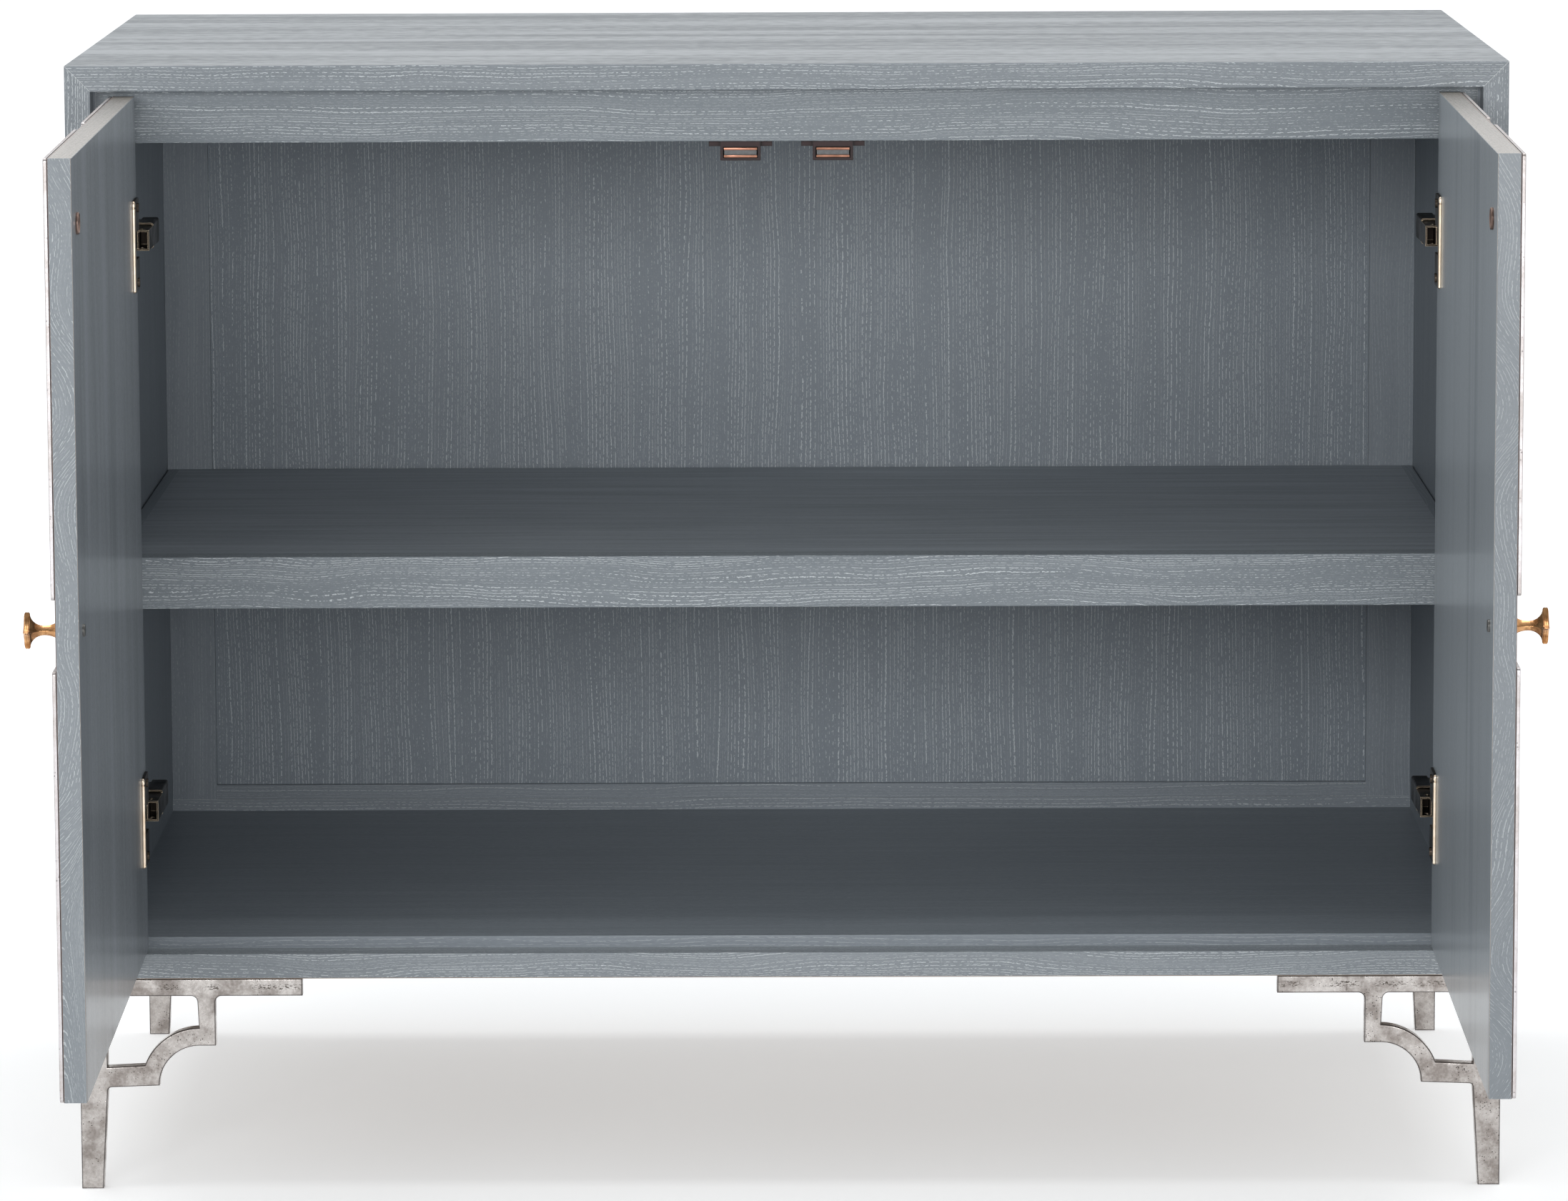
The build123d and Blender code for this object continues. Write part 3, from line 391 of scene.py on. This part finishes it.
def door_oak(side, sign, bowl, edge_share, inner_shading_share, inner_painted_shading):
    """Oak for one door: lacquered inner face, slanting grain on the free edge, raw top edge.

    bowl turns the low part of the free edge into arched grain, edge_share greys that edge, and
    the last two arguments draw the inner face towards painted shading: painted shade on the left door,
    painted light on the right."""
    out = door_out(sign)
    depths = [vert.co.dot(out) for vert in nodes[f"{side}_door"].data.vertices]
    inner, outer = min(depths), max(depths)

    def through(tree, coords):
        """The depth in the door's thickness."""
        return put(tree, "VectorMath", {0: coords["Object"], 1: tuple(out)}, output="Value",
                   operation="DOT_PRODUCT")

    def warp(tree, coords):
        """Slants the grain on the free edge, or arches it in the low part."""
        height = part(tree, coords["Object"], 2)
        wander = put(tree, "TexNoise", {"W": height, "Scale": 5.0, "Detail": 1.0}, noise_dimensions="1D")
        slant = times(tree, centred(tree, wander), 0.20)
        depth = centred(tree, through(tree, coords), (inner + outer) / 2)
        curved = times(tree, times(tree, depth, depth), 130.0)
        arch = calc(tree, "SUBTRACT", calc(tree, "ADD", curved, times(tree, height, 0.22)), depth)
        low_part = times(tree, span(tree, height, 0.42, 0.30), bowl)
        shift = put(tree, "Mix", {0: low_part, 2: slant, 3: arch})
        shift = times(tree, shift, facing(tree, coords, 1))
        return put(tree, "VectorMath", {0: coords["Object"], 1: put(tree, "CombineXYZ", {0: shift})},
                   operation="ADD")

    def touch(tree, coords, colour):
        """Painted reflection streaks and painted shading on the inner face, rubbed and glued arrises on
        the free edge, and the raw top edge.
        """
        depth = through(tree, coords)
        # Vertical streaks of painted reflection on the inner face.
        streaks = noise(tree, stretch(tree, coords["Object"], (1, 22, 1.6)), 1.0, 2, 0.5)
        inside, edge = facing(tree, coords, 0), facing(tree, coords, 1)
        glued = within(tree, depth, outer, ARRIS_REACH)
        rubbed = times(tree, within(tree, depth, inner, 0.0006), 0.55)
        for mask, share, tone in (
                (inside, inner_shading_share, inner_painted_shading),
                (inside, span(tree, streaks, 0.45, 0.7, 0, 0.3), REFLECTION_STREAK_PALE),
                (inside, span(tree, streaks, 0.5, 0.3, 0, 0.35), REFLECTION_STREAK_DARK),
                (edge, edge_share, EDGE_GREY), (edge, glued, GLUE_BROWN), (edge, rubbed, TAN)):
            colour = tint(tree, times(tree, mask, share), colour, tone)
        speck = noise(tree, coords["Object"], 900.0, 3, 0.7)
        raw = tint(tree, span(tree, speck, 0.36, 0.62), RAW_DARK, RAW_LIGHT)
        dots = noise(tree, stretch(tree, coords["Object"], (30, 240, 30)), 1.0, 2)
        glue = within(tree, depth, outer - GLUE_INSET, GLUE_REACH)
        raw = tint(tree, times(tree, glue, span(tree, dots, 0.42, 0.5)), raw, GLUE_BROWN)
        return tint(tree, facing(tree, coords, 2), colour, raw)

    return limed_oak(f"oak_{side}_door", grain="z", shift=(4.7, 0.5 + sign, 0.7), length=3.8, pitch=2.5,
                     bend=4, lime=0.75, coat=0.8, coat_roughness=0.22, wear_and_highlight=0.5, warp=warp, touch=touch)


# The left door's inner face gets painted shade and the right door's painted light, because the main lamp
# on the left falls on the right door's inner face.
oak_left_door = door_oak("left", -1, 1.0, 0.15, 0.3, (0.12, 0.128, 0.142, 1))
oak_right_door = door_oak("right", 1, 0.0, 0.38, 0.6, (0.35, 0.39, 0.42, 1))
print("door oak ready")

# %% Give the boards their oak
for name, material in {
    "top_board": oak_top, "bottom_board": oak_bottom, "top_rail": oak_rail,
    "floor_panel": oak_floor, "floor_lipping": oak_floor, "back_top_rail": oak_back_rail,
    "back_bottom_rail": oak_back_rail, "back_base_strip": oak_back_rail, "back_panel": oak_panel,
    "left_back_stile": oak_stile, "right_back_stile": oak_stile, "shelf_core": oak_shelf_top,
    "shelf_front_lipping": oak_shelf, "shelf_end_lippings": oak_end,
    "left_side_board": oak_side, "right_side_board": oak_side, "left_side_lining": oak_lining,
    "right_side_lining": oak_lining, "left_door": oak_left_door, "right_door": oak_right_door,
}.items():
    finish_node(name, material)
print("oak on the case, shelf and doors")

# %% [markdown]
# ## Aged metal
# The legs are castings plated in nickel that has gone soft and dull: pale where hands polish it,
# dark in patches, and pitted. One group makes broad patches, fine mottling and small pits; the
# legs, facings, knobs, hinges, catches and screws use it with their own values.

# %% The aged metal's pattern as a node group
aged_group, aged_in, aged_out = new_group(
    "aged metal",
    [("Vector", "Vector", None), ("Patch size", "Float", 30.0), ("Pit size", "Float", 900.0)],
    [("Patches", "Float"), ("Mottle", "Float"), ("Pits", "Float")])
tree = aged_group
broad = noise(tree, aged_in["Vector"], aged_in["Patch size"], 4, 0.6)
fine = noise(tree, aged_in["Vector"], 420.0, 4, 0.6)
pit_cell = put(tree, "TexVoronoi", {"Vector": aged_in["Vector"], "Scale": aged_in["Pit size"],
                                    "Randomness": 1.0})
pit_chance = put(tree, "SeparateColor", {0: pit_cell.node.outputs["Color"]})
pit_zone = span(tree, noise(tree, aged_in["Vector"], 60.0, 3), 0.48, 0.62)
pit = times(tree, span(tree, pit_cell, 0.16, 0.38, 1, 0), calc(tree, "GREATER_THAN", pit_chance, 0.55))
tree.links.new(span(tree, broad, 0.36, 0.66), aged_out["Patches"])
tree.links.new(fine, aged_out["Mottle"])
tree.links.new(times(tree, pit, pit_zone), aged_out["Pits"])
print("aged metal group ready")

# %% Metal materials
PIT_BLACK, RIM_REFLECTION_BLACK = (0.05, 0.045, 0.04, 1), (0.09, 0.08, 0.078, 1)
SEAM_BROWN = (0.085, 0.072, 0.062, 1)


def aged_metal(name, pale, dark, low, high, patch=30.0, pits=1.0, pit_size=900.0, bump=0.3,
               rim_dark_reflection=0.0, bright_edges=None, seam=None):
    """Metal between a pale and a dark colour, with roughness from low to high and dark pits.

    The rim darkening paints a dark reflection on the rounded edges of a casting, bright_edges is
    the colour of the edges on a part whose dark colour is painted shade, and seam is the height and
    the reach of a broken dark line round a casting."""
    material, tree, shader = new_material(name, Metallic=1.0)
    coords = surface_coords(tree)
    aged = use_group(tree, aged_group, {"Vector": coords["Object"], "Patch size": patch,
                                        "Pit size": pit_size})
    mottled = times(tree, centred(tree, aged["Mottle"], 0.35), 0.9)
    mixed = calc(tree, "ADD", times(tree, aged["Patches"], 0.8), mottled)
    pitted = times(tree, aged["Pits"], pits)
    colour = tint(tree, pitted, tint(tree, mixed, pale, dark), PIT_BLACK)
    # Painted dark reflection on the rounded edges, which face neither straight out nor sideways.
    if rim_dark_reflection:
        to_front = calc(tree, "ABSOLUTE", part(tree, coords["Normal"], 1))
        rounded = times(tree, span(tree, to_front, 0.25, 0.6), span(tree, to_front, 0.97, 0.85))
        colour = tint(tree, times(tree, rounded, rim_dark_reflection), colour, RIM_REFLECTION_BLACK)
    if bright_edges:
        colour = tint(tree, use_group(tree, edge_group, {})["Mask"], colour, bright_edges)
    if seam:
        specks = noise(tree, stretch(tree, coords["Object"], (420, 420, 900)), 1.0, 3, 0.7)
        patches = noise(tree, coords["Object"], 38.0, 2)
        line = within(tree, part(tree, coords["Object"], 2), *seam)
        line = times(tree, line, span(tree, specks, 0.50, 0.60))
        line = times(tree, line, span(tree, patches, 0.42, 0.55))
        colour = tint(tree, line, colour, SEAM_BROWN)
    tree.links.new(colour, shader["Base Color"])
    tree.links.new(span(tree, mixed, 0.0, 0.9, low, high), shader["Roughness"])
    height = calc(tree, "SUBTRACT", times(tree, aged["Mottle"], 0.4), pitted)
    tree.links.new(put(tree, "Bump", {"Height": height, "Strength": bump, "Distance": 0.0003}),
                   shader["Normal"])
    return material


leg_bar_middle = (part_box("left_front_leg")[1].z - 0.0067, 0.0028)
# The legs get a painted dark reflection along their rounded edges.
cast_nickel = aged_metal("cast_nickel", (0.60, 0.565, 0.54, 1), (0.25, 0.222, 0.205, 1), 0.20, 0.40,
                         patch=48, bump=0.5, pit_size=620, rim_dark_reflection=0.85, seam=leg_bar_middle)
door_silver = aged_metal("door_silver", (0.60, 0.575, 0.59, 1), (0.42, 0.385, 0.37, 1), 0.28, 0.46,
                         patch=26, pits=0.6, pit_size=420)
aged_brass = aged_metal("aged_brass", (0.74, 0.41, 0.19, 1), (0.32, 0.14, 0.05, 1), 0.12, 0.24,
                        patch=120, pits=0.1)
pale_gold = aged_metal("pale_gold", (0.94, 0.80, 0.65, 1), (0.78, 0.62, 0.46, 1), 0.28, 0.36,
                       patch=90, pits=0.0, bump=0.03)
cup_bronze = aged_metal("cup_bronze", (0.11, 0.088, 0.07, 1), (0.05, 0.04, 0.033, 1), 0.3, 0.45,
                        pits=0.0)
# The hinge arms are painted near black as painted shade inside their channels, with their plating's gold
# left on the edges.
arm_dark_and_painted_shade = aged_metal("arm_dark_and_painted_shade", (0.05, 0.04, 0.034, 1), (0.025, 0.02, 0.017, 1), 0.3, 0.45,
                        pits=0.0, bright_edges=(0.80, 0.66, 0.48, 1))
dark_steel = aged_metal("dark_steel", (0.05, 0.042, 0.038, 1), (0.02, 0.018, 0.016, 1), 0.3, 0.5,
                        pits=0.0)
screw_steel = aged_metal("screw_steel", (0.17, 0.17, 0.16, 1), (0.10, 0.10, 0.10, 1), 0.4, 0.55,
                         pits=0.1)
copper_pole = aged_metal("copper_pole", (0.34, 0.165, 0.115, 1), (0.18, 0.09, 0.06, 1), 0.3, 0.45,
                         pits=0.2)
strike_brown = aged_metal("strike_brown", (0.34, 0.24, 0.20, 1), (0.13, 0.085, 0.07, 1), 0.3, 0.45,
                          pits=0.3)
print("metals ready:", len(bpy.data.materials), "materials so far")

# %% The catches' plastic and magnets
catch_plastic, tree, shader = new_material("catch_plastic", Roughness=0.4, Specular_IOR_Level=0.25)
grain = noise(tree, surface_coords(tree)["Object"], 240.0, 3)
plain = tint(tree, grain, (0.020, 0.007, 0.008, 1), (0.036, 0.013, 0.014, 1))
# Painted shade darkens the plastic along its edges.
edge = use_group(tree, edge_group, {"Radius": 0.0025})["Mask"]
tree.links.new(tint(tree, edge, plain, (0.004, 0.002, 0.002, 1)), shader["Base Color"])

magnet_grey, tree, shader = new_material("magnet_grey", Roughness=0.6)
grain = noise(tree, surface_coords(tree)["Object"], 300.0, 3)
tree.links.new(tint(tree, grain, (0.07, 0.075, 0.08, 1), (0.22, 0.225, 0.23, 1)), shader["Base Color"])
print("plastic and magnet ready")

# %% Give the metal parts their finish
SLOT_LOOKS = {
    "door_metal": door_silver, "cast_leg_metal": cast_nickel, "knob_brass": aged_brass,
    "hinge_gold": pale_gold, "hinge_dark": dark_steel, "screw_steel": screw_steel,
    "catch_plastic": catch_plastic, "catch_pole": copper_pole, "strike_metal": strike_brown,
}
for name, obj in nodes.items():
    used = [made.name.split(".")[0] for made in obj.data.materials if made]
    if used and used[0] in SLOT_LOOKS:
        finish_node(name, SLOT_LOOKS[used[0]])
    if name.endswith(("hinge_cup", "cup_screws")):
        finish_node(name, cup_bronze)
    # Arms and links get the near-black material; on the arms it is painted shade.
    if name.endswith(("hinge_arm", "hinge_link")):
        finish_node(name, arm_dark_and_painted_shade)
finish_node("catch_screws", catch_plastic)
print({name: obj.data.materials[0].name for name, obj in nodes.items()})

# %% [markdown]
# ## Turned and stacked shapes
# Knobs and the small rods on the hinges are stacks of rings: a first ring is made with an
# operator, then its edge is extruded again and again, and each new ring is moved out and shaped.
# A ring may be round or a square with hollow sides. Both are one formula, the superellipse: its
# power is 2 for a circle, 1 for a square on its corner, and less than 1 draws the sides inwards.

# %% Helpers for stacked rings
def shape_ring(ring, distance, reach, power):
    """Sets a ring of vertices: distance along the axis, reach, and the power of its outline."""
    for place, vert in enumerate(ring):
        turn = 2 * pi * place / len(ring)
        spread = (abs(cos(turn)) ** power + abs(sin(turn)) ** power) ** (-1 / power)
        vert.co = (reach * spread * cos(turn), reach * spread * sin(turn), distance)


def ring_stack(sections, segments):
    """A closed shell through sections given as (distance, reach, power), along +Z."""
    shell = bmesh.new()
    bmesh.ops.create_circle(shell, segments=segments, radius=1)
    first = ring = list(shell.verts)
    edges = list(shell.edges)
    shape_ring(ring, *sections[0])
    for section in sections[1:]:
        made = bmesh.ops.extrude_edge_only(shell, edges=edges)["geom"]
        edges = [item for item in made if isinstance(item, bmesh.types.BMEdge)
                 and all(v in made for v in item.verts)]
        ring = [item for item in made if isinstance(item, bmesh.types.BMVert)]
        shape_ring(ring, *section)
    for end in (first, ring):
        bmesh.ops.contextual_create(shell, geom=list(end))
    bmesh.ops.recalc_face_normals(shell, faces=list(shell.faces))
    return shell


def turn_along(shell, direction, base):
    """Turns a shell from +Z to a level direction and sets it on its base point."""
    up = Vector((0, 0, 1))
    turn = Matrix((up, direction.cross(up), direction)).transposed().to_4x4()
    bmesh.ops.transform(shell, matrix=Matrix.Translation(base) @ turn, verts=shell.verts)


def keep_piece(name, shell, material, body, slot_name, *replaced):
    """Turns a finished bmesh into an object that rides on a body and stands for CAD nodes."""
    mesh = bpy.data.meshes.new(name)
    shell.normal_update()
    shell.to_mesh(mesh)
    shell.free()
    mesh.materials.append(material)
    mesh.shade_smooth()
    mesh.set_sharp_from_angle(angle=radians(32))
    obj = bpy.data.objects.new(name, mesh)
    bpy.context.scene.collection.objects.link(obj)
    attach(obj, body)
    if replaced:
        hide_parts(*replaced)
    return obj


print("helpers for ring stacks ready")

# %% [markdown]
# ## The brass knobs
# Each knob is a trumpet with four crests: seen from its end it is a square on its corner whose
# sides are drawn in. A slim neck joins a small foot to a thick rounded rim, which has a shallow
# groove round its middle. The CAD knob has flat facets, so it is replaced.

# %% Model one knob along its axis
KNOB_LENGTH, RIM_REACH, RIM_THICK = 0.0244, 0.0133, 0.004
NECK_REACH, NECK_PLACE, FOOT_REACH = 0.0035, 0.0104, 0.0092
RIM_POWER, NECK_POWER, RIM_ROUNDING, GROOVE_DEPTH = 0.70, 1.15, 0.0010, 0.00025
FLARE_STEPS, RIM_STEPS, CREST_BEVEL = 12, 16, 0.00022


def flare_power(reach):
    """The outline's power: nearly round at the neck, hollow-sided at the rim."""
    return RIM_POWER + (NECK_POWER - RIM_POWER) * max(0, RIM_REACH - reach) / (RIM_REACH - NECK_REACH)


def knob_sections():
    """Foot, neck and trumpet, then the rounded rim with its groove, and a low crown."""
    rim_start = KNOB_LENGTH - RIM_THICK
    rows = []
    for start, reach in ((0.0, FOOT_REACH), (rim_start, RIM_REACH - RIM_ROUNDING)):
        flare = []
        for step in range(FLARE_STEPS + 1):
            turn = radians(90 * step / FLARE_STEPS)
            distance = start + (NECK_PLACE - start) * (1 - cos(turn))
            at = reach - (reach - NECK_REACH) * sin(turn)
            flare.append((distance, at, flare_power(at)))
        rows += flare if start == 0 else flare[-2::-1]
    for step in range(1, RIM_STEPS + 1):
        way = step / RIM_STEPS
        rounding = RIM_ROUNDING * abs(2 * way - 1) ** 4
        groove = GROOVE_DEPTH * max(0, 1 - abs(way - 0.5) / 0.16) ** 2
        rows.append((rim_start + RIM_THICK * way, RIM_REACH - rounding - groove, RIM_POWER))
    rows.append((KNOB_LENGTH + 0.0003, RIM_REACH * 0.8, 0.75))
    rows.append((KNOB_LENGTH + 0.0007, RIM_REACH * 0.35, 0.9))
    return rows


for side, sign in (("left", -1), ("right", 1)):
    low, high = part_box(f"{side}_knob")
    shell = ring_stack(knob_sections(), 96)
    crests = [edge for edge in shell.edges if edge.is_manifold and edge.calc_face_angle(0) > radians(25)
              and abs(edge.verts[0].co.z - edge.verts[1].co.z) > 1e-6]
    bmesh.ops.bevel(shell, geom=crests, offset=CREST_BEVEL, offset_type="OFFSET", segments=2, profile=0.5,
                    affect="EDGES", material=-1, clamp_overlap=True)
    rim_middle = KNOB_LENGTH - RIM_THICK / 2
    base = Vector((high.x if sign < 0 else low.x, (low.y + high.y) / 2 + rim_middle * sin(DOOR_LEAN),
                   (low.z + high.z) / 2))
    turn_along(shell, door_out(sign), base)
    knob = keep_piece(f"{side}_knob_cast", shell, aged_brass, f"{side}_door", "knob_brass",
                      f"{side}_knob")
    print(knob.name, len(knob.data.polygons), "faces")

# %% [markdown]
# ## The rod along each hinge plate
# Where a hinge's plate meets the air it ends in a slim rounded rod with a ball at its foot and a
# ring and a groove near its head. It is a stack of round rings, so the same helper makes it.

# %% Model the four rods
ROD_REACH, ROD_PROUD = 0.0018, 0.0006
ROUND = 2.0


def rod_sections(length):
    """From the ball at the foot up to the cap: (distance, reach, power)."""
    ball = [(0.0, 0.0003), (0.0004, 0.0011), (0.0012, 0.0018), (0.0022, 0.0019), (0.0032, 0.0017)]
    shaft = [(0.0040, ROD_REACH), (length - 0.0062, ROD_REACH)]
    groove = [(length - 0.0058, 0.0011), (length - 0.0051, 0.0011)]
    cap = [(length - 0.0047, 0.0017), (length - 0.0030, 0.0019), (length - 0.0014, 0.0017),
           (length - 0.0004, 0.0010), (length, 0.0003)]
    return [(distance, reach, ROUND) for distance, reach in ball + shaft + groove + cap]


for side, sign in (("left", -1), ("right", 1)):
    for level in ("upper", "lower"):
        low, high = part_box(f"{side}_{level}_hinge_cup")
        shell = ring_stack(rod_sections(high.z - low.z), 20)
        face_x = high.x if sign < 0 else low.x
        axis_x = face_x + sign * (ROD_REACH - ROD_PROUD)
        bmesh.ops.translate(shell, verts=shell.verts, vec=(axis_x, low.y + 0.0003, low.z))
        rod = keep_piece(f"{side}_{level}_hinge_rod", shell, pale_gold, f"{side}_door", "hinge_gold")
        print(rod.name, "at", [round(v, 4) for v in (face_x, low.y, low.z)])

# %% [markdown]
# ## The strike discs
# Each door carries a round steel disc that the catch pulls on. It is a shallow dish with a raised
# rim, so its edge catches a thin line of light. The same ring stack makes it, along the line
# that runs out of the door's inner face.

# %% Model the two strike discs
DISH_ROWS = ((0.0, 0.97), (0.0004, 1.0), (0.0016, 1.0), (0.0021, 0.95), (0.0021, 0.86), (0.0015, 0.78),
             (0.0013, 0.3), (0.0012, 0.05))
for side, sign in (("left", -1), ("right", 1)):
    low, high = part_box(f"{side}_strike_disc")
    reach = (high.z - low.z) / 2
    shell = ring_stack([(distance, reach * share, ROUND) for distance, share in DISH_ROWS], 48)
    base = Vector((high.x if sign > 0 else low.x, (low.y + high.y) / 2, (low.z + high.z) / 2))
    turn_along(shell, -door_out(sign), base)
    disc = keep_piece(f"{side}_strike_dish", shell, strike_brown, f"{side}_door", "strike_metal",
                      f"{side}_strike_disc")
    print(disc.name, "reach", round(reach, 4))

# %% [markdown]
# ## The magnetic catches
# In the mouth of each catch two steel pole bars clamp a flat magnet. The bars stand a little
# proud and shine like copper, and the magnet's face between them is grey. Three bevelled bars
# make this, so each catches a line of light along its edges.

# %% Model the bars and magnets
def bevelled_bar(low, high, bevel):
    """A bar between two corners, with rounded edges."""
    shell = bmesh.new()
    bmesh.ops.create_cube(shell, size=1)
    bmesh.ops.scale(shell, verts=shell.verts, vec=tuple(b - a for a, b in zip(low, high)))
    bmesh.ops.translate(shell, verts=shell.verts, vec=tuple((a + b) / 2 for a, b in zip(low, high)))
    bmesh.ops.bevel(shell, geom=list(shell.edges), offset=bevel, offset_type="OFFSET", segments=2,
                    profile=0.5, affect="EDGES", material=-1, clamp_overlap=True)
    return shell


POLE_THICK, POLE_INSET, BAR_BEVEL = 0.0020, 0.0004, 0.0003
MAGNET_INSET = Vector((0.0004, 0.0015, 0.0012))
for side in ("left", "right"):
    low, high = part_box(f"{side}_catch_magnet")
    for level, bottom in (("lower", low.z + POLE_INSET), ("upper", high.z - POLE_INSET - POLE_THICK)):
        bar = bevelled_bar((low.x, low.y, bottom), (high.x, high.y, bottom + POLE_THICK), BAR_BEVEL)
        keep_piece(f"{side}_catch_{level}_pole", bar, copper_pole, "case", "catch_pole",
                   f"{side}_catch_magnet")
    block_high = (high.x - MAGNET_INSET.x, high.y, high.z - MAGNET_INSET.z)
    block = bevelled_bar(low + MAGNET_INSET, block_high, BAR_BEVEL)
    keep_piece(f"{side}_catch_magnet_block", block, magnet_grey, "case", "catch_pole")
print("catches ready")

# %% [markdown]
# ## Floor, backdrop and light
# The stage is a pale floor under an even white surround. Soft light comes from the front: a
# lamp on the left as the main light, a weaker one on the right and a wide one overhead. The floor
# glows a little for the camera and in mirrors, and more so further out, which keeps its shadow
# soft and pale. What metal mirrors is dimmer on the camera's side than behind the object, as in a
# real studio, so metal has contrast.

# %% Floor and surround
GLOW_FROM, GLOW_TO, GLOW_WEAK, GLOW_STRONG = 1.2, 3.5, 0.345, 0.6
floor_mesh = bpy.data.meshes.new("studio_floor")
builder = bmesh.new()
bmesh.ops.create_grid(builder, x_segments=1, y_segments=1, size=30)
builder.to_mesh(floor_mesh)
builder.free()
studio_floor = bpy.data.objects.new("studio_floor", floor_mesh)
bpy.context.scene.collection.objects.link(studio_floor)

floor_paint = bpy.data.materials.new("studio_floor")
floor_paint.use_nodes = True
tree = floor_paint.node_tree
tree.nodes.clear()
ray = tree.nodes.new("ShaderNodeLightPath").outputs
seen = calc(tree, "MAXIMUM", ray["Is Camera Ray"], ray["Is Glossy Ray"])
plain = put(tree, "BsdfDiffuse", {"Color": (0.75, 0.75, 0.75, 1)})
shaded = put(tree, "BsdfDiffuse", {"Color": (0.945, 0.965, 0.98, 1)})
from_middle = put(tree, "VectorMath", {0: surface_coords(tree)["Object"]}, output="Value",
                  operation="LENGTH")
glow_strength = span(tree, from_middle, GLOW_FROM, GLOW_TO, GLOW_WEAK, GLOW_STRONG)
glow = put(tree, "Emission", {"Color": (1, 1, 1, 1), "Strength": glow_strength})
glowing = put(tree, "AddShader", {0: shaded, 1: glow})
mixed = put(tree, "MixShader", {0: seen, 1: plain, 2: glowing})
tree.links.new(mixed, tree.nodes.new("ShaderNodeOutputMaterial").inputs["Surface"])
floor_mesh.materials.append(floor_paint)

world = bpy.data.worlds.new("white_studio")
bpy.context.scene.world = world
world.use_nodes = True
tree = world.node_tree
tree.nodes.clear()
ray = tree.nodes.new("ShaderNodeLightPath").outputs
seen = calc(tree, "MAXIMUM", calc(tree, "MAXIMUM", ray["Is Camera Ray"], ray["Is Glossy Ray"]),
            ray["Is Transmission Ray"])
dim_front = span(tree, part(tree, surface_coords(tree)["Generated"], 1), -0.35, 0.1, 0.38, 1.0)
mirrored = put(tree, "Mix", {0: ray["Is Camera Ray"], 2: dim_front, 3: 1.0})
strength = put(tree, "Mix", {0: seen, 2: 0.5, 3: mirrored})
surround = put(tree, "Background", {"Color": (1, 1, 1, 1), "Strength": strength})
tree.links.new(surround, tree.nodes.new("ShaderNodeOutputWorld").inputs["Surface"])
print("floor and surround ready")

# %% Lamps
def lamp(name, place, aim, width, height, watts):
    """A rectangular soft light that looks at a point."""
    data = bpy.data.lights.new(name, "AREA")
    data.shape = "RECTANGLE"
    data.size, data.size_y, data.energy = width, height, watts
    obj = bpy.data.objects.new(name, data)
    obj.location = place
    obj.rotation_mode = "QUATERNION"
    obj.rotation_quaternion = (Vector(aim) - Vector(place)).to_track_quat("-Z", "Y")
    bpy.context.scene.collection.objects.link(obj)


lamp("main_light", (-1.3, -5.4, 1.8), (0, 0.1, 0.5), 3.0, 1.2, 107)
lamp("fill_light", (1.5, -5.4, 1.0), (0, 0.1, 0.5), 1.6, 1.2, 38)
lamp("top_light", (0, 0.35, 3.4), (0, 0.2, 0), 3.4, 2.0, 49)
bpy.context.scene.view_settings.view_transform = "Standard"
print("three lamps")
